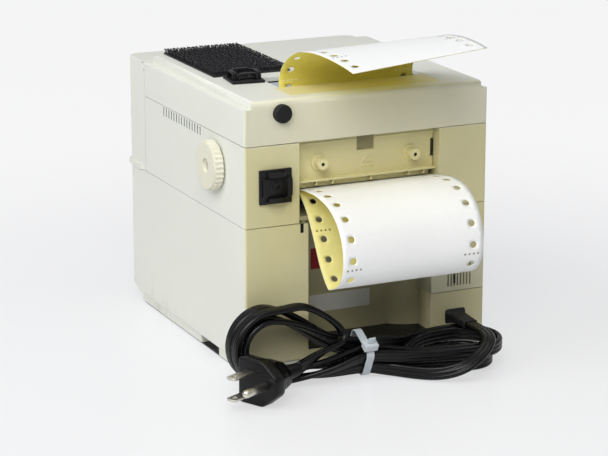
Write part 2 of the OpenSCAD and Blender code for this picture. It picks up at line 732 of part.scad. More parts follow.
module push_button(x) {
  color([0.5, 0.52, 0.54]) {
    box(x - button_w / 2 + gap, x + button_w / 2 - gap, front - 1.8, front + wall + 1.6,
      button_z - button_h / 2 + gap, button_z + button_h / 2 - gap);
    box(x - button_w / 2 - 1.4, x + button_w / 2 + 1.4, front + wall + gap, front + wall + 1.6,
      button_z - button_h / 2 - 1.4, button_z + button_h / 2 + 1.4);
  }
}
module feed_button() { push_button(button_x[0]); }
module online_button() { push_button(button_x[1]); }
module status_lenses() {
  for (i = [0:2]) color(i == 0 ? [0.2, 0.8, 0.3] : i == 1 ? [0.9, 0.7, 0.2] : [0.9, 0.2, 0.15]) {
    rod_y(lens_x[i], front - 0.5, front + wall, button_z, 1.5);
    rod_y(lens_x[i], front + wall, front + wall + 1, button_z, 2.4);
  }
}

// Stick-on cable tie mount: a square pad with a four-way bridge round a screw hole
module tie_mount() {
  b = 20;
  difference() {
    union() {
      translate([-b / 2, -b / 2, 0]) cube([b, b, 1.5]);
      for (a = [0:90:270]) rotate([0, 0, a]) {
        translate([-6.4, 4.2, 0]) cube([12.8, 2, 4.2]);
        translate([5.2, 5.2, 0]) cube([1.6, 1.6, 5]);
      }
      cylinder(r = 3.2, h = 2.6, $fn = 48);
    }
    translate([0, 0, 1]) cylinder(r = 1.7, h = 3, $fn = 32);
    for (a = [0, 90]) rotate([0, 0, a]) translate([-2.6, -9, 1.5]) cube([5.2, 18, 1.5]);
  }
}
module top_tie_mount() {
  color(black) translate([exit_r + 10.8, exit_f + 1.5, z_top]) rotate([0, 0, -6]) tie_mount();
}
module rear_tie_mount() {
  color(black) translate([bay_r + 16, rear, z_mid - 24.5]) rotate([-90, 2, 0]) tie_mount();
}
module round_bumper() {
  color(black) translate([bay_r + 11.5, rear, z_top - 8.4]) rotate([-90, 0, 0]) rotate_extrude($fn = 64)
    union() {
      square([5.5, 3]);
      square([4.2, 4]);
      translate([4.2, 2.7]) circle(r = 1.3, $fn = 24);
    }
}

// Hook-tape patch: stiff strands fused to a strip of backing
patch_x0 = 17.5;
patch_w = 51;
patch_y0 = -65.5;
patch_l = 82;
patch_t = 0.8;
strand_nx = 16;
strand_ny = 26;
strand_h = 2.4;
module hook_patch() {
  n = strand_nx * strand_ny;
  foot = 0.42;
  function root(i) = [patch_x0 + 1.6 + (i % strand_nx) * (patch_w - 3.2) / (strand_nx - 1),
    patch_y0 + 1.6 + floor(i / strand_nx) * (patch_l - 3.2) / (strand_ny - 1), z_top + patch_t - 0.2];
  function lean(i) = [0.5 * sin(i * 67), 0.5 * cos(i * 113), strand_h + 0.3 * sin(i * 41)];
  pts = [for (i = [0:n - 1], q = [0, 1], a = [0, 120, 240])
    root(i) + q * lean(i) + (q == 0 ? foot : 0.3) * [cos(a + i * 40), sin(a + i * 40), 0]];
  faces = [for (i = [0:n - 1]) each [
    for (k = [0:2]) let (m = (k + 1) % 3) each [
      [6 * i + k, 6 * i + 3 + k, 6 * i + m], [6 * i + m, 6 * i + 3 + k, 6 * i + 3 + m]],
    [6 * i, 6 * i + 1, 6 * i + 2], [6 * i + 5, 6 * i + 4, 6 * i + 3]]];
  color([0.1, 0.1, 0.11]) union() {
    box(patch_x0, patch_x0 + patch_w, patch_y0, patch_y0 + patch_l, z_top, z_top + patch_t);
    polyhedron(points = pts, faces = faces);
  }
}

// The form. Each stretch is a thin ribbon along a path of [y, z] points, with its sprocket holes
function catmull(p, i, t) = let (n = len(p) - 1, a = p[max(i - 1, 0)], b = p[i], c = p[min(i + 1, n)],
  d = p[min(i + 2, n)]) 0.5 * (2 * b + (c - a) * t + (2 * a - 5 * b + 4 * c - d) * t * t
  + (3 * b - a - 3 * c + d) * t * t * t);
function smooth(p, k) = concat([for (i = [0:len(p) - 2], j = [0:k - 1]) catmull(p, i, j / k)], [p[len(p) - 1]]);
function unit(v) = v / norm(v);
function side(p, i) = let (d = unit(p[min(i + 1, len(p) - 1)] - p[max(i - 1, 0)])) [-d[1], d[0]];
function along(p, i) = i == 0 ? 0 : norm(p[i] - p[i - 1]) + along(p, i - 1);
function spot(p, s, i = 0) = let (d = norm(p[i + 1] - p[i])) s <= d || i >= len(p) - 2
  ? [p[i] + (p[i + 1] - p[i]) * s / d, atan2(p[i + 1][1] - p[i][1], p[i + 1][0] - p[i][0])]
  : spot(p, s - d, i + 1);
module ribbon(p, first, dx = 0) {
  n = len(p);
  total = along(p, n - 1);
  outline_pts = concat([for (i = [0:n - 1]) p[i] + side(p, i) * form_t / 2],
    [for (i = [n - 1:-1:0]) p[i] - side(p, i) * form_t / 2]);
  difference() {
    translate([form_x + dx - form_w / 2, 0, 0]) rotate([90, 0, 90]) linear_extrude(form_w) polygon(outline_pts);
    for (s = [first:pitch:total - 4], m = [-1, 1]) let (q = spot(p, s))
      translate([form_x + dx + m * track, q[0][0], q[0][1]]) rotate([q[1], 0, 0])
        cylinder(r = hole_r, h = 4, center = true, $fn = 24);
  }
}
entry = [door_y - 1.5, platen_z - run_r - form_t / 2];
// Outward panel: leaves the entry, arches over and drops to the fold
near_pts = [entry + [0, 0.5], entry + [14, 3], entry + [29, 4.6], entry + [44, 2], entry + [56, -6.8],
  entry + [62.2, -20], entry + [62.8, -34], entry + [57, -43.6], entry + [46.6, -48.8]];
// Far panel: straight from the entry down to the fold
far_pts = [entry + [0, -0.5], entry + [7, -5], entry + [15, -12.5], entry + [24, -24], entry + [32.5, -36.5],
  entry + [40.2, -45], entry + [46, -49.5]];
exit_pt = [exit_b - 1.4, z_top - 3];
// Upper stretch: rises out of the slot and curls over the rear
top_pts = [exit_pt, exit_pt + [-1.2, 6], exit_pt + [1, 12.4], exit_pt + [8, 20], exit_pt + [18, 26.2],
  exit_pt + [30, 30.4], exit_pt + [46, 33.2], exit_pt + [64, 34.2], exit_pt + [82, 33.6], exit_pt + [95, 32.2]];
module rear_form_near() { color("white") ribbon(smooth(near_pts, 4), 5.6); }
module rear_form_far() { color([0.93, 0.85, 0.35]) ribbon(smooth(far_pts, 4), 9.2); }
module top_form() { color("white") ribbon(smooth(top_pts, 4), 14.5, 1.8); }
// Run round the platen; slots along both margins leave the pins room to turn
wrap_r = run_r + form_t / 2;
wrap_end = let (v = exit_pt - [platen_y, platen_z]) atan2(v[1], v[0]) + acos(wrap_r / norm(v));
module form_run() {
  line = concat([entry - [0.4, 0]],
    [for (i = [0:14]) let (a = 270 - i * (270 - wrap_end) / 14)
      [platen_y + wrap_r * cos(a), platen_z + wrap_r * sin(a)]],
    [exit_pt - [0.2, 0.4]]);
  n = len(line);
  pts = concat([for (i = [0:n - 1]) line[i] + side(line, i) * form_t / 2],
    [for (i = [n - 1:-1:0]) line[i] - side(line, i) * form_t / 2]);
  color([0.95, 0.95, 0.93]) difference() {
    translate([form_x - form_w / 2, 0, 0]) rotate([90, 0, 90]) linear_extrude(form_w) polygon(pts);
    for (s = [-1, 1]) translate([form_x + s * track - 2.4, platen_y - 20, platen_z - 20]) cube([4.8, 40, 40]);
  }
}

// Mains cord: a flat three-core cord in a hank of three turns and a half, on two tracks and two
// layers, tied at its waist. Its right end lies on the table. Towards the left end the loops turn
// upright, and the cord goes on from their top to the plug.
waist_x = 16;
hank_left = 73.2;
hank_right = -51.2;
hank_y = rear + 27.5;
hank_left_y = rear + 15.5;
end_r = 22;
end_step = cord_t + 1.9;
waist_half = 8.6;
waist_step = cord_t + 2.1;
layer = cord_w + 0.8;
table_gap = 0.2;
tie_lift = 2.1;
half_run = waist_x - hank_right;
turn_from = -14;
function soft(t) = t <= 0 ? 0 : t >= 1 ? 1 : t - 0.05 * sin(360 * t);
function leftness(x) = soft((x - turn_from) / (hank_left - turn_from));
function turn_at(x) = 90 * leftness(x);
function half_at(x, k) = let (w = waist_half - waist_step * k, far = x > waist_x
  ? soft((x - waist_x) / (hank_left - waist_x)) : ease((waist_x - x) / half_run)) w + (end_r - end_step * k - w) * far;
function centre_z(x) = let (f = turn_at(x)) table_gap + tie_lift * (1 - ease(abs(x - waist_x) / 24))
  + (half_at(x, 0) + cord_t / 2) * sin(f) + (layer + cord_w) / 2 * cos(f);
// Place of a strand at x, v to the side of the hank's middle, on layer l
function at(x, v, l) = let (f = turn_at(x), h = (l - 0.5) * layer) [x,
  hank_y - (hank_y - hank_left_y) * leftness(x) + v * cos(f) + h * sin(f), centre_z(x) - v * sin(f) + h * cos(f)];
// A front run goes towards +X on track k of layer l; a rear run goes back and changes its lane
front_x = [hank_right, hank_right + 29, waist_x - 14, waist_x + 1, waist_x + 30];
rear_x = [for (x = [hank_left, waist_x + 42, waist_x + 21]) x, for (i = [0:5]) waist_x - half_run * i / 6];
function stage(x, n) = ease((waist_x - x) / half_run * 3 - n);
function front_run(k, l, from = 0) = [for (i = [from:4]) at(front_x[i], half_at(front_x[i], k), l)];
function rear_run(n) = [for (x = rear_x) let (k = n == 0 ? stage(x, 2) : n == 2 ? 1 - stage(x, 0) : 1,
  l = n == 1 ? stage(x, 1) : n == 0 ? 0 : 1) at(x, -half_at(x, k), l)];
function hank_end(c, s, k, l) = let (r = end_r - end_step * k)
  [for (i = [0:4]) at(c + s * r * sin(36 * i), s * r * cos(36 * i), l)];
hank_top = at(hank_left, -end_r, 1);
hank_pts = concat([at(waist_x, waist_half, 0)], front_run(0, 0, 3), hank_end(hank_left, 1, 0, 0), rear_run(0), hank_end(hank_right, -1, 1, 0),
  front_run(1, 0), hank_end(hank_left, 1, 1, 0), rear_run(1), hank_end(hank_right, -1, 1, 1),
  front_run(1, 1), hank_end(hank_left, 1, 1, 1), rear_run(2), hank_end(hank_right, -1, 0, 1),
  front_run(0, 1), hank_end(hank_left, 1, 0, 1), [hank_top, hank_top - [9, 0, 0]]);
// Direction of the flat section's wide side: upright to the loops' plane
hank_wide = [for (i = [0:len(hank_pts) - 1]) let (f = i > len(hank_pts) - 3 ? 90 : turn_at(hank_pts[i][0]))
  [0, sin(f), cos(f)]];
six = [[1, 0], [0.6, 1], [-0.6, 1], [-1, 0], [-0.6, -1], [0.6, -1]];
eight = [[1, 0.4], [0.7, 1], [-0.7, 1], [-1, 0.4], [-1, -0.4], [-0.7, -1], [0.7, -1], [1, -0.4]];
// Least gap between stretches of the hank, from their distance and the section's reach that way
function to_seg(p, a, b) = let (d = b - a, t = max(0, min(1, (p - a) * d / (d * d)))) a + t * d - p;
function reach(v, wide) = let (n = norm(v), c = abs(v * wide) / n, s = sqrt(max(0, 1 - c * c)))
  max(c * cord_w / 2, 0.6 * c * cord_w / 2 + s * cord_t / 2);
function thin(i) = cross(hank_wide[i], hank_pts[min(i + 1, len(hank_pts) - 1)] - hank_pts[max(i - 1, 0)]);
hank_gap = min([for (i = [0:len(hank_pts) - 1], j = [0:len(hank_pts) - 2])
  if (abs(i - j - 0.5) > 5) let (v = to_seg(hank_pts[i], hank_pts[j], hank_pts[j + 1]))
    max([for (n = [v, hank_wide[i], thin(i)])
      abs(v * n) / norm(n) - reach(n, hank_wide[i]) - reach(n, hank_wide[j])])]);
echo(hank_gap = hank_gap, hank_length = along(hank_pts, len(hank_pts) - 1));
// Ring of the cord round point i: the wide side is kept square to the path
function ring(p, i, wide, sides) = let (d = unit(p[min(i + 1, len(p) - 1)] - p[max(i - 1, 0)]),
  w = unit(wide - (wide * d) * d), t = cross(d, w))
  [for (q = sides) p[i] + w * q[0] * cord_w / 2 + t * q[1] * cord_t / 2];
module tube(p, wide, sides) {
  m = len(sides);
  n = len(p);
  pts = [for (i = [0:n - 1]) each ring(p, i, wide[i], sides)];
  faces = concat([[for (k = [0:m - 1]) k]],
    [for (i = [0:n - 2], k = [0:m - 1]) let (q = (k + 1) % m) each [
      [m * i + k, m * (i + 1) + k, m * (i + 1) + q], [m * i + k, m * (i + 1) + q, m * i + q]]],
    [[for (k = [m - 1:-1:0]) m * (n - 1) + k]]);
  polyhedron(points = pts, faces = faces);
}
module cord_hank() { color(black) tube(hank_pts, hank_wide, six); }

// Three-pin plug, standing on its edge with its face turned to the left
plug_at = [97, 134];
plug_turn = 26;
plug_l = 22;
neck_l = 14;
plug_t = 6;
plug_back = [plug_at[0] - (plug_l + neck_l) * cos(plug_turn) - plug_t * sin(plug_turn),
  plug_at[1] - (plug_l + neck_l) * sin(plug_turn) + plug_t * cos(plug_turn)];
// Free stretches, from the strain relief to the hank and from the hank to the plug. Each point is
// [x, y, z, tilt, azimuth], where tilt 0 lies flat with the wide side along the azimuth
lead_in = [[inlet_x, rear + relief_l, inlet_z, 0, 0], [-60.3, 118, 20.7, 0, 0], [-59.5, 130, 21, 0, -10],
  [-55, 141.5, 20, 0, -35], [-46, 148.5, 15.5, 15, -60], [-34, 150, 9.5, 45, -80], [-22, 144, 5.6, 75, -90],
  [-11, 135, 4.6, 90, -90], concat(at(waist_x - 16, half_at(waist_x - 16, 0), 0), [90, -90]),
  concat(at(waist_x - 8, half_at(waist_x - 8, 0), 0), [90 + turn_at(waist_x - 8), -90]),
  for (s = [2.5, 0]) concat(hank_pts[0] - s * unit(hank_pts[1] - hank_pts[0]), [90 + turn_at(waist_x), -90])];
lead_out = [concat(hank_pts[len(hank_pts) - 1], [0, 90]), [52, 109.2, 46.6, 0, 90], [40, 111, 40.5, 0, 90],
  [31, 113.8, 33, 0, 90], [28.4, 116.6, 26.6, 5, 90], [34, 118.2, 23.4, 12, 90], [42, 118.2, 20.6, 30, 91],
  [50, 118.8, 17.4, 60, 96], [56, 120.6, 15, 82, 106], [plug_back[0], plug_back[1], 14, 90, 116]];
function xyz(p) = [for (q = p) [q[0], q[1], q[2]]];
function aim(q) = [cos(q[3]) * cos(q[4]), cos(q[3]) * sin(q[4]), sin(q[3])];
function aims(p, k) = concat([for (i = [0:len(p) - 2], j = [0:k - 1]) aim(p[i] + (p[i + 1] - p[i]) * j / k)],
  [aim(p[len(p) - 1])]);
module lead(p, k) { color(black) tube(smooth(xyz(p), k), aims(p, k), eight); }
module cord_lead_inlet() { lead(lead_in, 3); }
module cord_lead_plug() { lead(lead_out, 3); }
echo(lead_in_length = along(smooth(xyz(lead_in), 8), 8 * (len(lead_in) - 1)),
  lead_out_length = along(smooth(xyz(lead_out), 8), 8 * (len(lead_out) - 1)));

// White tie round the waist: strap, head and cut-off tail
module cable_tie() {
  y = waist_half + cord_t / 2 + 0.9;
  z = (layer + cord_w) / 2 + 0.4;
  color([0.93, 0.93, 0.9]) translate([waist_x, hank_y - (hank_y - hank_left_y) * leftness(waist_x), centre_z(waist_x)])
    rotate([-turn_at(waist_x), 0, 0]) {
      difference() {
        box(-2.4, 2.4, -y - 1.1, y + 1.1, -z - 1.1, z + 1.1);
        box(-3, 3, -y, y, -z, z);
      }
      box(-4.4, 4.4, y - 6.5, y - 0.5, z + 1, z + 6);
      box(-2.4, 2.4, y - 4.1, y - 2.9, z + 5.9, z + 10);
    }
}

module mains_plug() {
  translate([plug_at[0], plug_at[1], 14]) rotate([0, 0, plug_turn]) {
    color(black) {
      rotate([90, 0, -90]) linear_extrude(8)
        polygon([[9, -13.7], [9, 13.7], [-9, 13.7], [-20, 5], [-20, -5], [-9, -13.7]]);
      translate([-7.9, 0, 0]) rotate([90, 0, -90]) linear_extrude(plug_l - 7.9)
        polygon([[6, -10], [6, 10], [-9, 10], [-16, 5], [-16, -5], [-9, -10]]);
      translate([-plug_l - neck_l, plug_t, 0]) rotate([0, 90, 0]) cylinder(r = 4.6, h = neck_l + 1, $fn = 32);
    }
    color([0.85, 0.83, 0.78]) {
      for (s = [-1, 1]) translate([-1, -3.2, s * 6.35 - 0.75]) cube([18.5, 6.35, 1.5]);
      translate([-1, 11.9, 0]) rotate([0, 90, 0]) cylinder(r = 2.4, h = 20, $fn = 32);
      translate([19, 11.9, 0]) sphere(r = 2.4, $fn = 32);
    }
  }
}

bottom_plate();
base_pads();
lower_case();
mid_case();
top_cover();
front_cover();
front_hinge_pin();
rear_door();
exit_strip();
interface_cover();
interface_board();
recess_plate();
power_inlet();
left_frame();
right_frame();
deck_plate();
deck_posts();
platen_roller();
platen_shaft();
platen_knob();
pin_wheels();
platen_gear();
shaft_bushes();
idler_gear();
idler_stud();
motor_pinion();
feed_motor();
guide_rods();
carriage();
print_head();
carriage_belt();
belt_drive_pulley();
belt_idle_pulley();
belt_stud();
carriage_motor();
ribbon_cassette();
ribbon_band();
ribbon_knob();
entry_chute();
main_board();
board_chips();
transformer();
rocker_bezel();
power_rocker();
feed_button();
online_button();
status_lenses();
top_tie_mount();
rear_tie_mount();
round_bumper();
hook_patch();
rear_form_near();
rear_form_far();
form_run();
top_form();
cord_lead_inlet();
cord_hank();
cord_lead_plug();
cable_tie();
mains_plug();
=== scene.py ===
# %% [markdown]
# A small dot matrix form printer, seen from behind: a box of three cream shells with a paper door
# at the rear, a black mains cord wound up behind it and a length of two-ply form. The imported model
# holds every part at its true size. This script gives the parts their finish, rounds the shells'
# edges and builds what is soft or fine: the cord, the form, the hook tape, the tie mounts and
# small marks.

# %% Load the frame and the printer's main sizes
import json
import math

import bmesh
import bpy
import numpy as np
from mathutils import Matrix, Vector


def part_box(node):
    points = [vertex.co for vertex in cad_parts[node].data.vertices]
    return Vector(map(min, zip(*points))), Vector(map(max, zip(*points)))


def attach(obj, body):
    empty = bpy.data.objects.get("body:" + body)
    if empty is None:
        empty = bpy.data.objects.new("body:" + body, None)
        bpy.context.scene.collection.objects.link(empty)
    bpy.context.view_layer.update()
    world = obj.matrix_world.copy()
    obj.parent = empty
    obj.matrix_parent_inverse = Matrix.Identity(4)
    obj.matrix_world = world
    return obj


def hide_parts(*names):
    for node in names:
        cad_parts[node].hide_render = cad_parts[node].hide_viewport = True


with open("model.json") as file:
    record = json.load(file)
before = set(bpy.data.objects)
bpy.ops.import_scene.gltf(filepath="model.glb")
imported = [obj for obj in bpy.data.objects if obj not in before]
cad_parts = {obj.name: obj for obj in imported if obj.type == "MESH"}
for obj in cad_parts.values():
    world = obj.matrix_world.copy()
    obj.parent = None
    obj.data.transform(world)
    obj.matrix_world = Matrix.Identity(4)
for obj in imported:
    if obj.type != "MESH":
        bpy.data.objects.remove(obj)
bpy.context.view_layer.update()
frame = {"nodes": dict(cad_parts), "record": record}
nodes = frame["nodes"]
bodies = frame["record"]["behaviour"]["bodies"]
body_of = {node: body for body, members in bodies.items() for node in members}
slot_of = {part["node"]: part["material_slot"] for part in frame["record"]["subparts"]}
MM = 0.001
TURN = 2 * math.pi


def size_box(node):
    """The low and high corner of a solid part, in millimetres."""
    return [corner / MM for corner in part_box(node)]


case_low, case_high = size_box("lower_case")
cover_low, cover_high = size_box("top_cover")
hw, rear, low_seam = case_high
skirt_of_cover = 3.8
z_mid, z_top = cover_low.z + skirt_of_cover, cover_high.z
print("case half width %.1f, rear face %.1f, top %.1f mm" % (hw, rear, z_top))

# %% [markdown]
# ## Camera
# The photograph was taken from behind and from the knob's side, a little above the printer. A
# camera is a place, a direction and a focal length. The first two come from the printer's own
# edges, and a long lens keeps those edges nearly parallel, as they are in the picture.

# %% Camera
def add(name, data):
    obj = bpy.data.objects.new(name, data)
    bpy.context.scene.collection.objects.link(obj)
    return obj


def aim(obj, place, direction):
    """Put a camera or lamp at a place, looking in a direction."""
    obj.location = place
    obj.rotation_euler = Vector(direction).to_track_quat("-Z", "Y").to_euler()


camera_data = bpy.data.cameras.new("camera")
camera_data.sensor_width = 36
camera_data.lens = 141.0
camera = add("camera", camera_data)
aim(camera, (0.6130, 1.3180, 0.4574), (-0.4065, -0.8750, -0.2630))
bpy.context.scene.camera = camera
print("camera at", tuple(round(c, 3) for c in camera.location))

# %% [markdown]
# ## Small mesh helpers
# Most pieces here are a section carried along a path, or a flat outline given thickness. Each
# helper returns a plain object with its place in its mesh, riding on the body that carries it.

# %% Make an object from points and faces, in metres
def write_smooth(bm, mesh):
    """Write the working mesh into the mesh, shaded smooth."""
    bm.to_mesh(mesh)
    bm.free()
    for polygon in mesh.polygons:
        polygon.use_smooth = True
    return mesh


def piece(name, points, faces, body, material=None, closed=True):
    mesh = bpy.data.meshes.new(name)
    mesh.from_pydata([tuple(p) for p in points], [], faces)
    bm = bmesh.new()
    bm.from_mesh(mesh)
    if closed:
        bmesh.ops.recalc_face_normals(bm, faces=bm.faces)
    obj = add(name, write_smooth(bm, mesh))
    if body:
        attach(obj, body)
    if material:
        mesh.materials.append(material)
    return obj


# %% Turn modifiers into a plain mesh
def bake(obj):
    graph = bpy.context.evaluated_depsgraph_get()
    mesh = bpy.data.meshes.new_from_object(obj.evaluated_get(graph))
    obj.modifiers.clear()
    obj.data = mesh
    return obj


def bevel(obj, width, segments=2, weights=False):
    """Round the sharp edges, or only the marked ones, and keep flat faces flat."""
    mod = obj.modifiers.new("edges", "BEVEL")
    mod.width, mod.segments = width * MM, segments
    mod.limit_method = "WEIGHT" if weights else "ANGLE"
    mod.angle_limit = math.radians(35)
    mod.use_clamp_overlap = not weights
    mod.loop_slide = False
    mod.harden_normals = not weights
    if weights:
        flat = obj.modifiers.new("flat faces", "WEIGHTED_NORMAL")
        flat.mode, flat.weight, flat.keep_sharp = "FACE_AREA", 80, True
    return bake(obj)


# %% Circles, rings of points and smooth paths
def circle(radius, count, centre=(0, 0), start=0.0):
    angles = np.linspace(0, TURN, count, endpoint=False) + start
    return [(centre[0] + radius * math.cos(a), centre[1] + radius * math.sin(a)) for a in angles]


def ring_faces(m, n):
    """Faces over n rings of m points each, with both ends closed."""
    faces = [tuple(range(m))[::-1], tuple(range((n - 1) * m, n * m))]
    for i in range(n - 1):
        for k in range(m):
            q = (k + 1) % m
            faces.append((i * m + k, i * m + q, (i + 1) * m + q, (i + 1) * m + k))
    return faces


def loft(rings):
    return [p for ring in rings for p in ring], ring_faces(len(rings[0]), len(rings))


def sweep(path, wides, section):
    """Rings of the section (wide, thin) along the path, square to it; ends closed."""
    path, wides = np.array(path, float), np.array(wides, float)
    along = np.gradient(path, axis=0)
    along /= np.linalg.norm(along, axis=1)[:, None]
    wide = wides - (wides * along).sum(1)[:, None] * along
    wide /= np.linalg.norm(wide, axis=1)[:, None]
    thin = np.cross(along, wide)
    sec = np.array(section, float)
    points = path[:, None] + wide[:, None] * sec[None, :, :1] + thin[:, None] * sec[None, :, 1:]
    return points.reshape(-1, 3), ring_faces(len(sec), len(path))


def catmull(points, steps):
    """A smooth path through the points, with so many steps between each two."""
    p = [np.array(q, float) for q in points]
    out = []
    for i in range(len(p) - 1):
        a, b, c, d = p[max(i - 1, 0)], p[i], p[i + 1], p[min(i + 2, len(p) - 1)]
        for j in range(steps):
            t = j / steps
            out.append(0.5 * (2 * b + (c - a) * t + (2 * a - 5 * b + 4 * c - d) * t**2
                              + (3 * b - a - 3 * c + d) * t**3))
    out.append(p[-1])
    return np.array(out)


def distances(path):
    return np.concatenate([[0], np.cumsum(np.linalg.norm(np.diff(path, axis=0), axis=1))])


def length_of(path):
    return float(distances(path)[-1])


# %% [markdown]
# ## The mains cord
# A flat three-core cord leaves the case low at the rear, is wound into a hank that a white tie
# holds at the waist, and ends in a three-pin plug. A hank is two lanes that widen from the waist
# into a half circle at each end, so its turns can be written as a rule: x along the hank, a track
# (how far out) and a layer (how high). Towards the left end the loops turn upright. The free
# stretches at both ends follow a few listed points, the same ones as in the solid model.

# %% Sizes of the cord and its hank, in millimetres
cord_w, cord_t = 8.2, 3.6
waist_x, hank_left, hank_right = 16.0, 73.2, -51.2
hank_y, hank_left_y = rear + 27.5, rear + 15.5
end_r, end_step = 22.0, cord_t + 1.9
waist_half, waist_step = 8.6, cord_t + 2.1
layer = cord_w + 0.8
table_gap, tie_lift, lift_reach, turn_from = 0.2, 2.1, 24.0, -14.0
half_run = waist_x - hank_right


def ease(t):
    """0 to 1, slow at both ends."""
    t = min(max(t, 0.0), 1.0)
    return t * t * (3 - 2 * t)


def soft(t):
    """0 to 1, only a little slower at both ends."""
    t = min(max(t, 0.0), 1.0)
    return t - 0.05 * math.sin(2 * math.pi * t)


# %% Place of a strand: x, offset from the hank's middle, layer
def leftness(x):
    return soft((x - turn_from) / (hank_left - turn_from))


def turn_at(x):
    return math.pi / 2 * leftness(x)


def half_at(x, track):
    w = waist_half - waist_step * track
    if x > waist_x:
        far = soft((x - waist_x) / (hank_left - waist_x))
    else:
        far = ease((waist_x - x) / half_run)
    return w + (end_r - end_step * track - w) * far


def centre_z(x):
    f = turn_at(x)
    lift = tie_lift * (1 - ease(abs(x - waist_x) / lift_reach))
    upright = (half_at(x, 0) + cord_t / 2) * math.sin(f)
    return table_gap + lift + upright + (layer + cord_w) / 2 * math.cos(f)


def centre_y(x):
    return hank_y - (hank_y - hank_left_y) * leftness(x)


def at(x, v, lay):
    f, h = turn_at(x), (lay - 0.5) * layer
    return (x, centre_y(x) + v * math.cos(f) + h * math.sin(f),
            centre_z(x) - v * math.sin(f) + h * math.cos(f))


# %% Walk the hank's turns
def stage(x, n):
    return ease((waist_x - x) / half_run * 3 - n)


run_step, end_points = 2.0, 36


def front_run(track, lay, start):
    return [at(x, half_at(x, track), lay) for x in np.arange(start, hank_left, run_step)]


def rear_run(n):
    run = []
    for x in np.arange(hank_left, hank_right, -run_step):
        track = stage(x, 2) if n == 0 else 1 - stage(x, 0) if n == 2 else 1
        lay = (0, stage(x, 1), 1)[n]
        run.append(at(x, -half_at(x, track), lay))
    return run


def hank_end(centre, side, track, lay):
    r = end_r - end_step * track
    return [at(centre + side * r * math.sin(a), side * r * math.cos(a), lay)
            for a in np.linspace(0, math.pi, end_points)[:-1]]


hank = front_run(0, 0, waist_x)
for turn, (track, lay) in enumerate([(0, 0), (1, 0), (1, 1)]):
    hank += hank_end(hank_left, 1, track, lay) + rear_run(turn)
    track, lay = [(1, 0), (1, 1), (0, 1)][turn]
    hank += hank_end(hank_right, -1, track, lay) + front_run(track, lay, hank_right)
hank += hank_end(hank_left, 1, 0, 1)
hank_top = at(hank_left, -end_r, 1)
hank += [hank_top, (hank_top[0] - 9, hank_top[1], hank_top[2])]
wides = [(0, math.sin(turn_at(p[0])), math.cos(turn_at(p[0]))) for p in hank[:-2]]
wides += [(0, 1, 0), (0, 1, 0)]
print("hank of %d points, %.0f mm" % (len(hank), length_of(hank)))

# %% The free stretches: x, y, z, tilt of the wide side, azimuth of the wide side
inlet_x, inlet_z, relief_l = -60.3, 20.6, 19.5
plug_turn, plug_l, neck_l, neck_side = math.radians(26), 22.0, 14.0, 6.0
plug_at = Vector((97.0, 134.0, 14.0))
plug_out = Vector((math.cos(plug_turn), math.sin(plug_turn), 0))
plug_across = Vector((-math.sin(plug_turn), math.cos(plug_turn), 0))
plug_back = plug_at - plug_out * (plug_l + neck_l) + plug_across * neck_side
before, beside = (at(x, half_at(x, 0), 0) for x in (waist_x - 16, waist_x - 8))
first = Vector(hank[0]) - (Vector(hank[4]) - Vector(hank[0])).normalized() * 2.5
waist_tilt = 90 + math.degrees(turn_at(waist_x))
lead_in = [
    (inlet_x, rear + relief_l, inlet_z, 0, 0), (-60.3, 118, 20.7, 0, 0), (-59.5, 130, 21, 0, -10),
    (-55, 141.5, 20, 0, -35), (-46, 148.5, 15.5, 15, -60), (-34, 150, 9.5, 45, -80),
    (-22, 144, 5.6, 75, -90), (-11, 135, 4.6, 90, -90), (*before, 90, -90),
    (*beside, 90 + math.degrees(turn_at(waist_x - 8)), -90),
    (*first, waist_tilt, -90), (*hank[0], waist_tilt, -90),
]
lead_out = [
    (*hank[-1], 0, 90), (52, 109.2, 46.6, 0, 90), (40, 111, 40.5, 0, 90), (31, 113.8, 33, 0, 90),
    (28.4, 116.6, 26.6, 5, 90), (34, 118.2, 23.4, 12, 90), (42, 118.2, 20.6, 30, 91),
    (50, 118.8, 17.4, 60, 96), (56, 120.6, 15, 82, 106), (*plug_back, 90, 116),
]


def free_stretch(points):
    p = catmull(points, 8)
    tilt, azimuth = np.radians(p[:, 3]), np.radians(p[:, 4])
    level = np.cos(tilt)
    return p[:, :3], np.stack([level * np.cos(azimuth), level * np.sin(azimuth), np.sin(tilt)], 1)


# %% One route for the whole cord, evened out and smoothed
a_path, a_wide = free_stretch(lead_in)
b_path, b_wide = free_stretch(lead_out)
route = np.vstack([a_path[:-1], np.array(hank), b_path[1:]])
facing = np.vstack([a_wide[:-1], np.array(wides), b_wide[1:]])
reach, step_l = distances(route), 1.8
even = np.linspace(0, reach[-1], int(reach[-1] / step_l))
route, facing = (np.stack([np.interp(even, reach, line[:, k]) for k in range(3)], 1)
                 for line in (route, facing))
smoothing_rounds = 6
for _ in range(smoothing_rounds):
    for line in (route, facing):
        line[1:-1] = line[1:-1] * 0.5 + (line[:-2] + line[2:]) * 0.25
print("cord of %.2f m" % (length_of(route) * MM))

# %% The flat section: three cores side by side, with a groove between them
def flat_section(width, thick, groove, n=9):
    reach, core = (width - thick) / 2, width / 3
    pts = [(reach + thick / 2 * math.sin(a), thick / 2 * math.cos(a))
           for a in np.linspace(0, math.pi, 7)]
    for i in range(1, n):
        u = reach - 2 * reach * i / n
        v = -thick / 2 + groove * math.exp(-((abs(u) - core / 2) / 0.45) ** 2)
        pts.append((u, v))
    return pts + [(-u, -v) for u, v in pts]


points, faces = sweep(route * MM, facing, np.array(flat_section(cord_w, cord_t, 0.45)) * MM)
cord = piece("mains_cord", points, faces, "case")
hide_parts("cord_lead_inlet", "cord_hank", "cord_lead_plug")
print("cord faces", len(cord.data.polygons))

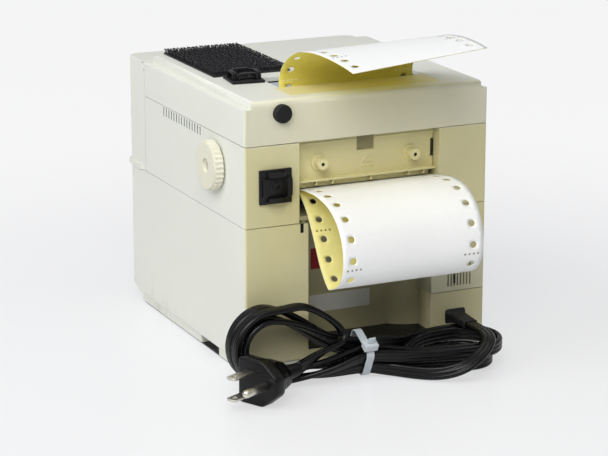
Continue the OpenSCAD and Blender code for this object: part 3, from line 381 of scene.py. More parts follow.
# %% [markdown]
# The plug is a block of the same soft plastic with two flat blades and a round earth pin. Its back
# tapers into a ribbed neck. A loft through a few outlines gives the block its soft shape, and
# plates with a rounded tip and a hole make the blades.

# %% Outlines with rounded corners
def round_outline(corners, radius, n=4):
    """A closed outline of [a, b] points with every corner rounded."""
    out = []
    for i, here in enumerate(corners):
        p = Vector(here)
        u, v = Vector(corners[i - 1]) - p, Vector(corners[(i + 1) % len(corners)]) - p
        r = min(radius, u.length / 2.2, v.length / 2.2)
        u, v = u.normalized(), v.normalized()
        for j in range(n + 1):
            t = j / n
            q = (p + u * r) * (1 - t) ** 2 + p * 2 * t * (1 - t) + (p + v * r) * t**2
            out.append((q.x, q.y))
    return out


# %% Plug body
def on_plug(depth, across, up):
    p = plug_at + plug_out * depth + plug_across * across + Vector((0, 0, up))
    return (p.x * MM, p.y * MM, p.z * MM)


face_outline = [(-8.9, -13.6), (-8.9, 13.6), (9, 13.6), (19.6, 5), (19.6, -5), (9, -13.6)]


def plug_ring(depth, scale, blend=0.0):
    """One outline of the plug, blended from its flat block to its round neck."""
    outline = round_outline(face_outline, 2.2)
    neck = circle(4.6, len(outline), (neck_side, 0), math.pi + 0.45)
    ring = []
    for (a, b), (c, d) in zip(outline, neck[::-1]):
        a, b = (a - neck_side) * scale + neck_side, b * scale
        ring.append(on_plug(depth, a * (1 - blend) + c * blend, b * (1 - blend) + d * blend))
    return ring


block_rings = [(0, 0.93), (-0.25, 0.975), (-0.9, 1.0), (-7.2, 1.0), (-8.2, 0.97), (-9.0, 0.86),
               (-10.0, 0.80), (-15, 0.74), (-20.5, 0.62), (-22, 0.5, 0.5), (-22.6, 0.4, 1.0)]
rings = [plug_ring(*values) for values in block_rings]
neck_from, rib_pitch, rib_taper = -22.9, 2.6, 0.035
for i in range(5):
    for back, scale in ((0.0, 1.0), (1.4, 1.0), (1.6, 0.84), (2.3, 0.84)):
        depth = neck_from - i * rib_pitch - back
        centre = Vector(on_plug(depth, neck_side, 0))
        rings.append([tuple(centre + (Vector(p) - centre) * scale * (1 - rib_taper * i))
                      for p in plug_ring(depth, 0.4, 1.0)])
pts, faces = loft(rings)
plug_body = piece("plug_body", pts, faces, "case")
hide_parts("mains_plug")
print("plug body faces", len(faces))

# %% Blades and earth pin
def blade(name, up):
    half, tip, shoulder = 3.17, 17.4, 16.4
    outline = round_outline([(-0.5, -half), (shoulder, -half), (tip, -1.8), (tip, 1.8),
                             (shoulder, half), (-0.5, half)], 0.6, 3)
    hole = circle(1.6, 16, (13.6, 0))
    curve = bpy.data.curves.new(name, "CURVE")
    curve.dimensions, curve.fill_mode = "2D", "BOTH"
    for ring in (outline, hole):
        spline = curve.splines.new("POLY")
        spline.points.add(len(ring) - 1)
        for q, (a, b) in zip(spline.points, ring):
            q.co = (a * MM, b * MM, 0, 1)
        spline.use_cyclic_u = True
    curve.extrude, curve.bevel_depth, curve.bevel_resolution = 0.6 * MM, 0.15 * MM, 1
    flat = add(name, curve)
    graph = bpy.context.evaluated_depsgraph_get()
    mesh = bpy.data.meshes.new_from_object(flat.evaluated_get(graph))
    bpy.data.objects.remove(flat)
    base = plug_at * MM + Vector((0, 0, up * MM))
    mesh.transform(Matrix.Translation(base) @ Matrix.Rotation(plug_turn, 4, "Z"))
    solid = add(name, mesh)
    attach(solid, "case")
    return solid


blades = [blade("plug_blade_upper", 6.35), blade("plug_blade_lower", -6.35)]
pin_r, pin_l, pin_side = 2.4, 16.9, 11.9
profile = [(pin_l + pin_r * math.sin(a), pin_r * math.cos(a)) for a in np.linspace(0, 1.5, 8)]
rings = [[on_plug(depth, u, v) for u, v in circle(r, 24, (pin_side, 0))]
         for depth, r in [(-1, pin_r)] + profile]
pts, faces = loft(rings)
earth_pin = piece("plug_earth_pin", pts, faces, "case")
print("plug with", len(blades), "blades and a pin")

# %% [markdown]
# The white tie is one moulded strip: a strap pulled round the waist, a head with a slot and the
# cut-off tail. The strap bends round the bundle's corners, so its path is a rounded rectangle in
# the plane of the waist, which leans with the hank there.

# %% Tie strap, head and tail
lean = turn_at(waist_x)
tie_middle = Vector((waist_x, centre_y(waist_x), centre_z(waist_x)))
tie_y, tie_z = waist_half + cord_t / 2 + 0.75, (layer + cord_w) / 2 + 0.4


def on_tie(x, v, h):
    return ((tie_middle.x + x) * MM,
            (tie_middle.y + v * math.cos(lean) + h * math.sin(lean)) * MM,
            (tie_middle.z - v * math.sin(lean) + h * math.cos(lean)) * MM)


loop = round_outline([(-tie_y, -tie_z), (tie_y, -tie_z), (tie_y, tie_z), (-tie_y, tie_z)], 4.0, 6)
strap_half, strap_t = 2.4, 1.0
pts, faces = [], []
for v, h in loop:
    out_v, out_h = Vector((v, h)) + Vector((v, h)).normalized() * strap_t
    pts += [on_tie(-strap_half, v, h), on_tie(strap_half, v, h),
            on_tie(strap_half, out_v, out_h), on_tie(-strap_half, out_v, out_h)]
n = len(loop)
for i in range(n):
    j = (i + 1) % n
    for k in range(4):
        q = (k + 1) % 4
        faces.append((4 * i + k, 4 * j + k, 4 * j + q, 4 * i + q))
strap = piece("tie_strap", pts, faces, "case")
bevel(strap, 0.2, 2)
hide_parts("cable_tie")


# %% A bevelled block in any oriented place
def block(name, corners, body, width, place=None, segments=2):
    """A rounded box from (x0, x1, y0, y1, z0, z1) in millimetres; place maps each point."""
    x0, x1, y0, y1, z0, z1 = corners
    pts = [(x, y, z) for x in (x0, x1) for y in (y0, y1) for z in (z0, z1)]
    pts = [place(*p) if place else tuple(c * MM for c in p) for p in pts]
    faces = [(0, 1, 3, 2), (4, 6, 7, 5), (0, 4, 5, 1), (2, 3, 7, 6), (0, 2, 6, 4), (1, 5, 7, 3)]
    obj = piece(name, pts, faces, body)
    return bevel(obj, width, segments)


head_box = (-4.4, 4.4, tie_y - 6.4, tie_y - 0.6, tie_z + 0.9, tie_z + 5.8)
tail_box = (-2.3, 2.3, tie_y - 4, tie_y - 3, tie_z + 5.6, tie_z + 9.7)
tie_head = block("tie_head", head_box, "case", 0.8, on_tie, 3)
tie_tail = block("tie_tail", tail_box, "case", 0.3, on_tie)
print("tie round the waist, leaning %.0f degrees" % math.degrees(lean))

# %% [markdown]
# Where the cord leaves the case it is held by a strain relief: a tapered sleeve, cut by grooves so
# that it bends little by little.

# %% Strain relief
def relief_ring(out, wide, high):
    """An outline so far out from the rear face, its width and height scaled."""
    outline = round_outline([(-5.5, -2.7), (5.5, -2.7), (5.5, 2.7), (-5.5, 2.7)], 1.6, 4)
    return [((inlet_x + a * wide) * MM, (rear + out) * MM, (inlet_z + b * high) * MM)
            for a, b in outline]


sizes = [(-6, 1.28, 1.7), (0.2, 1.28, 1.7), (0.9, 1.2, 1.5), (1.0, 1.0, 1.0)]
for i in range(6):
    t, out = i / 6, 2.2 + i * 2.8
    a, b = 1.0 - 0.14 * t, 1.0 - 0.24 * t
    sizes += [(out, a, b), (out + 0.2, a * 0.9, b * 0.84), (out + 1.0, a * 0.9, b * 0.84),
              (out + 1.2, a - 0.02, b - 0.03)]
sizes.append((relief_l, 0.86, 0.76))
pts, faces = loft([relief_ring(*size) for size in sizes])
relief = piece("strain_relief", pts, faces, "case")
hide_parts("power_inlet")
print("strain relief %.0f mm long" % relief_l)

[plug_body, earth_pin, strap, tie_head, tie_tail] + blades

# %% [markdown]
# ## Materials
# A finish is a small network of nodes. The class below lets that network be written as ordinary
# arithmetic: a Value wraps a socket, and adding or multiplying Values adds Math nodes.

# %% A Value that can be added and multiplied, and one method for every other node
class Value:
    def __init__(self, tree, socket):
        self.tree, self.socket = tree, socket

    def math(self, operation, *others):
        inputs = {i: v for i, v in enumerate((self, *others))}
        return self.tree.node("ShaderNodeMath", {"operation": operation}, inputs)

    def __add__(self, other):
        return self.math("ADD", other)

    def __mul__(self, other):
        return self.math("MULTIPLY", other)

    def __sub__(self, other):
        return self.math("SUBTRACT", other)

    def __truediv__(self, other):
        return self.math("DIVIDE", other)

    def __rsub__(self, other):
        return self.tree.node("ShaderNodeMath", {"operation": "SUBTRACT"}, {0: other, 1: self})

    __radd__, __rmul__ = __add__, __mul__

    def smooth(self, low, high):
        """0 below low, 1 above high, and a soft step between."""
        return self.tree.node("ShaderNodeMapRange", {"interpolation_type": "SMOOTHSTEP"},
                              {"Value": self, "From Min": low, "From Max": high})


class Tree:
    def __init__(self, nodes, links):
        self.nodes, self.links = nodes, links

    def node(self, kind, settings=None, inputs=None, out=0):
        made = self.nodes.new(kind)
        for key, value in (settings or {}).items():
            setattr(made, key, value)
        for key, value in (inputs or {}).items():
            if isinstance(value, Value):
                self.links.new(value.socket, made.inputs[key])
            else:
                made.inputs[key].default_value = value
        return Value(self, made.outputs[out]) if made.outputs else made


# %% A material with its principled shader, and colours as they are seen
def srgb(r, g, b):
    """A seen colour, 0 to 255, as the linear colour that the renderer works in."""
    return tuple(c / 255 / 12.92 if c < 10.5 else ((c / 255 + 0.055) / 1.055) ** 2.4
                 for c in (r, g, b)) + (1,)


looks = {}


class Finish(Tree):
    """A material under its name in looks, with its principled shader."""

    def __init__(self, name, roughness=0.5, metallic=0.0, specular=0.5, coat=0.0):
        self.material = bpy.data.materials.new(name)
        self.material.use_nodes = True
        looks[name] = self.material
        tree = self.material.node_tree
        tree.nodes.clear()
        super().__init__(tree.nodes, tree.links)
        self.shader = tree.nodes.new("ShaderNodeBsdfPrincipled")
        self.output = tree.nodes.new("ShaderNodeOutputMaterial")
        self.links.new(self.shader.outputs[0], self.output.inputs[0])
        for key, value in {"Roughness": roughness, "Metallic": metallic,
                           "Specular IOR Level": specular, "Coat Weight": coat}.items():
            self.shader.inputs[key].default_value = value
        self.place = self.node("ShaderNodeTexCoord", out="Object")

    def feed(self, name, value):
        self.links.new(value.socket, self.shader.inputs[name])

    def noise(self, scale, detail=2.0, rough=0.5, place=None):
        return self.node("ShaderNodeTexNoise", {}, {"Vector": place or self.place, "Scale": scale,
                                                    "Detail": detail, "Roughness": rough})

    def mix(self, factor, a, b, blend="MIX"):
        settings = {"data_type": "RGBA", "blend_type": blend}
        return self.node("ShaderNodeMix", settings, {0: factor, 6: a, 7: b}, out=2)

    def axis(self, name, source=None):
        return self.node("ShaderNodeSeparateXYZ", {}, {0: source or self.place}, out=name)

    def bump(self, height, distance):
        return self.node("ShaderNodeBump", {}, {"Height": height, "Distance": distance})


# %% [markdown]
# ### Moulded case plastic
# The shells are a fine-textured cream plastic that has yellowed where light reached it: the rear
# and the bay behind the form are a warmer beige than the sides. The finish mixes the two colours
# by the place on the case. It adds faint clouding, a painted shadow line above the plinth, painted
# shade low in the bay, painted shade in the grooves between the ribs, dust in the lowest part and
# a fine grain as bump. The places are in metres, each a pair between which a mask rises from 0 to 1.

# %% Case plastic
bay_left, bay_right, bay_y = (0.0455, 0.0460), (-0.0489, -0.0484), (0.054, 0.056)
bay_top, bay_shade_y, bay_shade_z = (0.1385, 0.1405), (0.070, 0.086), (0.085, 0.115)
ribs_left, ribs_right = (-0.0540, -0.0536), (-0.0712, -0.0709)
ribs_low, ribs_top = (0.0390, 0.0394), (0.0550, 0.0553)
plinth_low, plinth_top = (0.0056, 0.0068), (0.0070, 0.0074)
skin = rear * MM


def case_plastic(name, pale, aged, always=0.0):
    """Pale plastic, aged at the rear and in the bay, or by the share that is aged everywhere."""
    f = Finish(name, specular=0.35)
    x, y, z = f.axis("X"), f.axis("Y"), f.axis("Z")
    below_top = 1 - z.smooth(*bay_top)
    at_rear = y.smooth(skin - 0.0014, skin - 0.0004) * (1 - z.smooth(*bay_top) * 0.5)
    in_bay = x.smooth(*bay_right) * (1 - x.smooth(*bay_left)) * y.smooth(*bay_y)
    in_bay = in_bay * below_top * (1 - at_rear)
    cloud = f.noise(14.0, 3.0).smooth(0.35, 0.75)
    fine = f.noise(160.0, 2.0)
    age = (at_rear.math("MAXIMUM", in_bay) * (1 - always) + always) * (0.85 + cloud * 0.15)
    colour = f.mix(age, pale, aged)
    # Painted shade low and deep in the bay, where the form above keeps the light out.
    bay_shade = in_bay * (1 - y.smooth(*bay_shade_y)) * (1 - z.smooth(*bay_shade_z)) * (1 - always)
    # Painted shade in the grooves between the interface cover's ribs.
    groove_shade = x.smooth(*ribs_right) * (1 - x.smooth(*ribs_left)) * z.smooth(*ribs_low)
    groove_shade = groove_shade * y.smooth(skin - 0.0010, skin - 0.0009)
    groove_shade = groove_shade * (1 - y.smooth(skin - 0.0007, skin - 0.0003)) * (1 - z.smooth(*ribs_top))
    # A painted shadow line where the plinth steps in.
    step = z.smooth(*plinth_low) * (1 - z.smooth(*plinth_top))
    shade = (0.955 + cloud * 0.03 + fine * 0.03) * (1 - step * 0.22)
    shade = shade * (1 - bay_shade * 0.42) * (1 - groove_shade * 0.6)
    tone = f.node("ShaderNodeCombineColor", {}, {0: shade, 1: shade, 2: shade * 0.995})
    colour = f.mix(1.0, colour, tone, "MULTIPLY")
    dust = f.noise(70.0, 5.0, 0.7).smooth(0.52, 0.72) * (1 - z.smooth(0.0, 0.035)) * 0.35
    f.feed("Base Color", f.mix(dust, colour, srgb(150, 140, 112)))
    f.feed("Roughness", 0.42 + fine * 0.16)
    f.feed("Normal", f.bump(f.noise(1500.0, 3.0, 0.6), 0.00003))


beige = srgb(216, 208, 161)
case_plastic("case_plastic", srgb(229, 230, 221), beige)
case_plastic("aged_plastic", beige, srgb(230, 221, 168), always=1.0)
case_plastic("panel_plastic", srgb(226, 225, 208), srgb(218, 214, 182))
# Dark beige that paints shade: the inlay in the door's notch.
case_plastic("shadow_plastic", srgb(158, 150, 112), srgb(150, 141, 104), always=1.0)
case_plastic("knob_plastic", srgb(231, 229, 214), srgb(214, 208, 176), always=0.3)
print("case plastic made")

# %% Plain plastics, rubber, board and cloth
def worn_plastic(name, colour, worn, roughness, specular=0.5, grain=0.00002, scale=1200.0):
    f = Finish(name, specular=specular)
    cloud = f.noise(60.0, 4.0, 0.6).smooth(0.45, 0.75)
    f.feed("Base Color", f.mix(cloud * 0.5, srgb(*colour), srgb(*worn)))
    f.feed("Roughness", roughness + cloud * 0.12)
    f.feed("Normal", f.bump(f.noise(scale, 3.0), grain))


worn_plastic("black_plastic", (20, 20, 22), (34, 34, 36), 0.4, 0.3)
worn_plastic("cord_jacket", (8, 8, 10), (17, 17, 21), 0.24, 0.26, 0.00004, 500.0)
worn_plastic("rubber", (20, 20, 21), (36, 36, 37), 0.6, 0.3)
worn_plastic("hook_tape", (20, 20, 23), (46, 46, 50), 0.36)
worn_plastic("grey_plastic", (126, 130, 134), (142, 145, 148), 0.42)
worn_plastic("white_plastic", (226, 228, 226), (238, 239, 236), 0.34)
worn_plastic("tie_nylon", (196, 203, 209), (216, 221, 225), 0.3)
worn_plastic("guide_plastic", (176, 186, 196), (190, 198, 206), 0.4)
worn_plastic("board", (38, 92, 58), (60, 118, 78), 0.4)
worn_plastic("ribbon_cloth", (16, 16, 22), (34, 34, 44), 0.7, 0.3, 0.00005, 900.0)
print("plain plastics made")


# %% Metals
def metal(name, seen, roughness, scratches=0.1, stretch=(1, 1, 1)):
    """Brushed metal; stretch draws its scratches out along an axis."""
    f = Finish(name, metallic=1.0)
    colour = srgb(*seen)
    spread = f.node("ShaderNodeMapping", {}, {"Vector": f.place, "Scale": stretch})
    line = f.noise(700.0, 3.0, 0.6, spread)
    cloud = f.noise(90.0, 4.0, 0.6)
    f.feed("Base Color", f.mix(cloud * 0.4, colour, tuple(c * 0.7 for c in colour[:3]) + (1,)))
    f.feed("Roughness", roughness + line * scratches + cloud * 0.08)
    f.feed("Normal", f.bump(line, 0.00001))


metal("steel", (205, 208, 212), 0.28)
metal("chrome", (225, 228, 232), 0.12, 0.05)
metal("brass", (214, 182, 110), 0.3)
metal("head_metal", (110, 112, 118), 0.4)
metal("blade_metal", (226, 222, 210), 0.2, 0.12, (0.3, 0.3, 3))
print("metals made")


# %% Paper
form_x, form_w, pitch, margin = -2.9, 88.9, 12.7, 12.7
form_depth, dot_pitch, dot_from = 6 * pitch, 2.7, 1.85


def paper(name, colour, speck, dots_at=None, glow=0.0, ink=(110, 104, 90)):
    """Fibrous paper; dots_at is the place along the form of one row of crimp dots."""
    f = Finish(name, roughness=0.72, specular=0.2)
    fibre = height = f.noise(420.0, 4.0, 0.7)
    cloud = f.noise(35.0, 2.0)
    tone = f.mix(fibre.smooth(0.4, 0.8) * 0.35 + cloud * 0.1, srgb(*colour), srgb(*speck))
    if dots_at:
        # Four crimp dots a margin, once every form depth
        flat = f.node("ShaderNodeUVMap", {"uv_map": "flat"})
        across, along = f.axis("X", flat) / MM, f.axis("Y", flat) / MM
        inward = across.math("MINIMUM", form_w - across)
        a = (((inward - dot_from) / dot_pitch).math("FRACT") - 0.5) * dot_pitch
        b = (((along - dots_at) / form_depth + 0.5).math("FRACT") - 0.5) * form_depth
        spot = (1 - (a * a + b * b).smooth(0.2, 0.55)) * inward.math("LESS_THAN", 12.6)
        spot = spot * inward.math("GREATER_THAN", 1.9)
        tone = f.mix(spot * 0.85, tone, srgb(*ink))
        height = fibre + spot * 8
    f.feed("Base Color", tone)
    f.feed("Normal", f.bump(height, 0.00002))
    # Emission is painted light: it stands in for light passing through the thin white ply.
    if glow:
        f.feed("Emission Color", tone)
        f.shader.inputs["Emission Strength"].default_value = glow


paper("white_paper", (246, 246, 244), (238, 239, 238), 87.3)
# The loop's yellow ply glows a little: painted light through the white ply over it.
paper("yellow_paper", (230, 222, 152), (216, 206, 120), 150.8, 0.05, (84, 74, 44))
paper("white_paper_top", (245, 245, 244), (239, 240, 239), 6.5)
paper("yellow_paper_top", (232, 219, 112), (214, 198, 74), 6.5, 0.0, (244, 240, 214))
paper("label_paper", (216, 215, 206), (198, 197, 186))
paper("red_paper", (150, 42, 44), (120, 30, 34))
print("papers made")

# %% Lamp lenses
lens, green = Finish("lens_plastic", roughness=0.12, coat=0.3), srgb(70, 160, 84)
spread = lens.noise(200.0).smooth(0.3, 0.8)
lens.feed("Base Color", lens.mix(spread, green, tuple(c * 0.75 for c in green[:3]) + (1,)))
print("lens plastic made")

# %% [markdown]
# ## Giving the solid parts their finish
# Parts whose shape is right stay as they are and only get a material. The record says which finish
# each part has, and a piece that is built here gets its own.

# %% Finish for every solid part
looks["black_metal"] = looks["black_plastic"]
for node, obj in nodes.items():
    obj.data.materials.clear()
    obj.data.materials.append(looks[slot_of[node]])
finish_of = {"cord_jacket": [cord, plug_body], "black_plastic": [relief],
             "tie_nylon": [strap, tie_head, tie_tail], "blade_metal": [earth_pin] + blades}
for name, objects in finish_of.items():
    for obj in objects:
        obj.data.materials.append(looks[name])
print("finished", len(nodes), "parts")

# %% [markdown]
# ## Softened shells
# Moulded plastic has no sharp corners. A copy of each shell gets its outer edges rounded: the
# copy's corners are joined, the edges that a hand could touch are marked, and a bevel rounds only
# those.

# %% Copy a part and round the marked edges
def softened(node, name, width, wanted, look=None):
    """wanted gives the weight, 0 to 1, of a sharp edge from its middle."""
    bm = bmesh.new()
    bm.from_mesh(nodes[node].data)
    bmesh.ops.remove_doubles(bm, verts=bm.verts, dist=1e-6)
    weight = bm.edges.layers.float.new("bevel_weight_edge")
    marked = 0
    for edge in bm.edges:
        angle = edge.calc_face_angle(0) if len(edge.link_faces) == 2 else math.pi
        if math.radians(40) < angle < math.pi:
            edge[weight] = wanted((edge.verts[0].co + edge.verts[1].co) / 2 / MM)
            marked += edge[weight] > 0
        edge.smooth = edge[weight] > 0 or angle < math.radians(30)
    obj = add(name, write_smooth(bm, bpy.data.meshes.new(name)))
    bevel(obj, width, 3, weights=True)
    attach(obj, body_of[node])
    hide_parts(node)
    obj.data.materials.clear()
    obj.data.materials.append(looks[look or slot_of[node]])
    print("%s: %d edges rounded, %d faces" % (name, marked, len(obj.data.polygons)))


# %% Case shells
ledge, cover_seam_y = z_top - 5, size_box("mid_case")[0].y
near, raised_in, plinth_zone, vent_zone = 0.3, 6.0, 14.0, (-45, 30, 100)


def outside(p):
    """True on the outer skin of the case."""
    return abs(p.x) > hw - near or abs(p.y) > rear - near or p.z > z_top - near


def at_seam(p):
    return min(abs(p.z - low_seam), abs(p.z - z_mid)) < 0.6


def top_weight(p):
    if p.z > z_top - near and (abs(p.x) > hw - raised_in or p.y > rear - 1):
        return 1.0
    if abs(p.z - ledge) < near and abs(p.x) > hw - 0.5:
        return 0.6
    if abs(p.x) > hw - 0.5 and p.y > rear - 2:
        return 0.5
    return 0.08 if at_seam(p) and outside(p) else 0.0


def shell_weight(p):
    """The outer edges, but not the vents' and the plinth's."""
    in_vents = abs(p.x) > hw - 0.5 and p.z > vent_zone[2] and vent_zone[0] < p.y < vent_zone[1]
    if in_vents or not outside(p) or p.z < plinth_zone:
        return 0.0
    return 0.12 if at_seam(p) else 0.3


def cover_weight(p):
    """The front cover's outer edges, but not the fine ones at its seam, hinge and lip."""
    on_skin = abs(p.x) > hw - near or p.y < case_low.y + near or p.z > ledge - near
    return 0.8 if on_skin and p.y < cover_seam_y - 3 and p.z > low_seam + 4 else 0.0


softened("top_cover", "top_shell", 1.6, top_weight)
softened("mid_case", "mid_shell", 1.0, shell_weight)
softened("lower_case", "low_shell", 1.0, shell_weight)
softened("front_cover", "lift_cover", 1.0, cover_weight)
softened("interface_cover", "interface_shell", 0.6, lambda p: 0.2 if outside(p) else 0.0,
         "panel_plastic")
softened("rear_door", "paper_door", 0.5, lambda p: 0.5)
softened("exit_strip", "exit_strip_panel", 0.4, lambda p: 0.5)

# %% The front cover's barrels, which close the notch beside each hinge ear, and the paper knob
hinge_x, hinge_r, barrel_r = (70.3, 79.8), 1.5, 2.45
hinge_at = [a + hinge_r for a in size_box("front_hinge_pin")[0].yz]
for side, ends in (("knob", hinge_x), ("far", (-hinge_x[1], -hinge_x[0]))):
    rings = [[(x * MM, y * MM, z * MM) for y, z in circle(barrel_r, 40, hinge_at)] for x in ends]
    barrel = piece("cover_barrel_%s_side" % side, *loft(rings), "cover", looks["case_plastic"])
    barrel.data.set_sharp_from_angle(angle=math.radians(40))
softened("platen_knob", "paper_knob", 0.4, lambda p: 0.6, "knob_plastic")

# %% [markdown]
# ## Two-ply form
# The form is white paper over yellow. Each ply is a flat pattern first, with its rows of sprocket
# holes, and is then laid along the path that the paper takes. A hole is a ring of faces between a
# circle and a square cell, so no cutting is needed.

# %% Flat pattern of a perforated strip
hole_r, ring_n = 2.0, 24
plain_w = form_w - 2 * margin


def strip_pattern(first_hole, length):
    """Points (across, along) and faces of a strip whose first hole is at first_hole."""
    points, faces, index = [], [], {}

    def face(*corners):
        found = []
        for u, s in corners:
            key = (round(u, 3), round(s, 3))
            if key not in index:
                index[key] = len(points)
                points.append((u, s))
            found.append(index[key])
        faces.append(found)

    for row in range(-1, int(length / pitch) + 2):
        start = first_hole - pitch / 2 + row * pitch
        for left in (0.0, form_w - margin):
            cell, hole = [], []
            for i in range(ring_n):
                side, k = divmod(i, 6)
                t = k / 6 * 2 - 1
                a, b = [(t, -1), (1, t), (-t, 1), (-1, -t)][side]
                u, s, angle = left + margin / 2, start + pitch / 2, math.atan2(b, a)
                cell.append((u + a * margin / 2, s + b * pitch / 2))
                hole.append((u + hole_r * math.cos(angle), s + hole_r * math.sin(angle)))
            middle = [((a[0] + 2 * b[0]) / 3, (a[1] + 2 * b[1]) / 3) for a, b in zip(cell, hole)]
            for i in range(ring_n):
                j = (i + 1) % ring_n
                face(cell[i], cell[j], middle[j], middle[i])
                face(middle[i], middle[j], hole[j], hole[i])
        step, wide = pitch / 6, plain_w / 10
        for k in range(6):
            for c in range(10):
                u, s = margin + c * wide, start + k * step
                face((u, s), (u + wide, s), (u + wide, s + step), (u, s + step))
    points = [(u, min(max(s, 0.0), length)) for u, s in points]

    def double_area(face):
        ring = [points[i] for i in face]
        return abs(sum(a[0] * b[1] - b[0] * a[1] for a, b in zip(ring, ring[1:] + ring[:1])))

    return points, [found for found in faces if double_area(found) > 1e-3]


# %% Lay a pattern along a path of (y, z) points
paper_t, ply_gap = 0.12, 0.12


def laid(name, path, first_hole, offset, look, skew, shift):
    """A ply along the path; skew moves its points by their share across and along."""
    pattern, faces = strip_pattern(first_hole, length_of(path))
    dist = distances(path)
    slope = np.gradient(path, axis=0)
    slope /= np.linalg.norm(slope, axis=1)[:, None]
    out = []
    for u, s in pattern:
        y, z, ty, tz = (np.interp(s, dist, line) for line in (*path.T, *slope.T))
        dy, dz = skew(u / form_w, s / dist[-1])
        x = form_x + shift + form_w / 2 - u
        out.append((x * MM, (y - tz * offset + dy) * MM, (z + ty * offset + dz) * MM))
    obj = piece(name, out, faces, "case", looks[look], closed=False)
    uv = obj.data.uv_layers.new(name="flat")
    for corner in obj.data.loops:
        u, s = pattern[corner.vertex_index]
        uv.data[corner.index].uv = (u * MM, s * MM)
    solid = obj.modifiers.new("thickness", "SOLIDIFY")
    solid.thickness, solid.offset = paper_t * MM, 0
    bake(obj)
    print("%s: %.0f mm of form" % (name, dist[-1]))
    return obj


def two_plies(prefix, path, first_hole, ending, skew, shift=0.0):
    """White over yellow, each laid along the path at its own offset."""
    plies = []
    for ply, offset in (("white", ply_gap), ("yellow", -ply_gap)):
        look = ply + "_paper" + ending
        obj = laid(prefix + ply, path, first_hole, offset, look, skew, shift)
        plies.append(obj)
    return plies


# %% The loop of form behind the printer
door_face, platen_z, run_r = rear - 8.5, 121.0, 12.2
entry = np.array([door_face - 1.5, platen_z - run_r - 0.2])
outer_points = [(0, 0.5), (14, 3), (29, 4.6), (44, 2), (56, -6.8), (62.2, -20), (62.8, -34),
                (57, -43.6), (46.6, -48.8)]
inner_points = [(0, -0.5), (7, -5), (15, -12.5), (24, -24), (32.5, -36.5), (40.2, -45), (46, -49.5)]
outward, inward = (catmull(entry + np.array(points), 10) for points in (outer_points, inner_points))
loop_path = np.vstack([outward, inward[::-1][1:]])


def hump(t, middle, reach):
    return math.exp(-((t - middle) / reach) ** 2)


def loop_skew(across, along):
    """The far edge hangs further out; the knob side sags on top and bulges lower down."""
    if along < 0.49:
        swing = math.sin(min(along * 2.05, 1.0) * math.pi / 2)
    else:
        swing = max(0.0, 1 - (along - 0.49) / 0.45)
    knob_side = max(0.0, 1 - across * 1.6)
    return ((across - 0.62) * 9.0 * swing + 4.6 * knob_side * hump(along, 0.44, 0.16),
            (across - 0.5) * 2.4 * swing - 2.2 * knob_side * hump(along, 0.2, 0.12))


near_ply, far_ply = two_plies("rear_form_", loop_path, 5.6, "", loop_skew)
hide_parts("rear_form_near")
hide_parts("rear_form_far")

# %% The free end that curls over the top
exit_b = rear - 30
curl_points = [(0, 0), (-1.2, 6), (1, 12.4), (8, 20), (18, 26.2), (30, 30.4), (46, 33.2), (64, 34.2),
               (82, 33.6), (95, 32.2)]
curl = catmull(np.array(curl_points) + (exit_b - 1.4, z_top - 3), 10)


def curl_skew(across, along):
    """The knob side leans back, and the far side lifts towards the end."""
    return (0.5 - across) * 8 * ease((along - 0.4) * 1.7), (across - 0.5) * 6 * ease(along)


top_plies = two_plies("top_form_", curl, 14.5, "_top", curl_skew, 1.8)
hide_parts("top_form")

# %% [markdown]
# ## Hook fastener patch
# A square of hook tape is stuck on the top. Such tape is a woven or moulded strip with rows of
# small stiff hooks. One hook is made once, and Geometry Nodes sets it on every point of a grid
# with a little random lean, which is far cheaper than modelling thousands of them by hand.

# %% Rows of hooks as a node group
tape_x, tape_y, tape_t = (17.6, 68.4), (-65.4, 16.4), 0.95
group = bpy.data.node_groups.new("hook_rows", "GeometryNodeTree")
sockets = {"Geometry": "Geometry", "Columns": "Int", "Rows": "Int", "Width": "Float",
           "Length": "Float", "Lean": "Float", "Seed": "Int", "Finish": "Material"}
for name, kind in sockets.items():
    group.interface.new_socket(name, in_out="INPUT", socket_type="NodeSocket" + kind)
group.interface.new_socket("Geometry", in_out="OUTPUT", socket_type="NodeSocketGeometry")
net = Tree(group.nodes, group.links)
given = group.nodes.new("NodeGroupInput")
take = {socket.name: Value(net, socket) for socket in given.outputs if socket.name}
spread = {"Size X": "Width", "Size Y": "Length", "Vertices X": "Columns", "Vertices Y": "Rows"}
grid = net.node("GeometryNodeMeshGrid", {}, {key: take[name] for key, name in spread.items()})
stem = net.node("GeometryNodeMeshCone", {}, {"Vertices": 6, "Radius Top": 0.00022,
                                              "Radius Bottom": 0.0004, "Depth": 0.0026})
ball = net.node("GeometryNodeMeshUVSphere", {}, {"Segments": 8, "Rings": 5, "Radius": 0.0006})
cap = net.node("GeometryNodeTransform", {}, {"Geometry": ball, "Translation": (0.0002, 0, 0.0025),
                                             "Scale": (1.25, 0.9, 0.62)})


def join(*parts):
    both = net.node("GeometryNodeJoinGeometry")
    for part in parts:
        net.links.new(part.socket, both.socket.node.inputs[0])
    return both


hook = join(stem, cap)
lean = net.node("FunctionNodeRandomValue", {"data_type": "FLOAT_VECTOR"},
                {0: (-1, -1, -0.6), 1: (1, 1, 0.6), 8: take["Seed"]})
lean = net.node("ShaderNodeVectorMath", {"operation": "SCALE"}, {0: lean, "Scale": take["Lean"]})
rows = net.node("GeometryNodeInstanceOnPoints", {},
                {"Points": grid, "Instance": hook, "Rotation": lean})
on_tape = (sum(tape_x) / 2 * MM, sum(tape_y) / 2 * MM, z_top * MM + 0.0008)
moved = net.node("GeometryNodeTransform", {}, {"Geometry": rows, "Translation": on_tape})
real = net.node("GeometryNodeRealizeInstances", {}, {0: join(take["Geometry"], moved)})
real = net.node("GeometryNodeSetMaterial", {}, {"Geometry": real, "Material": take["Finish"]})
net.links.new(real.socket, group.nodes.new("NodeGroupOutput").inputs[0])
print("hook group of", len(group.nodes), "nodes")

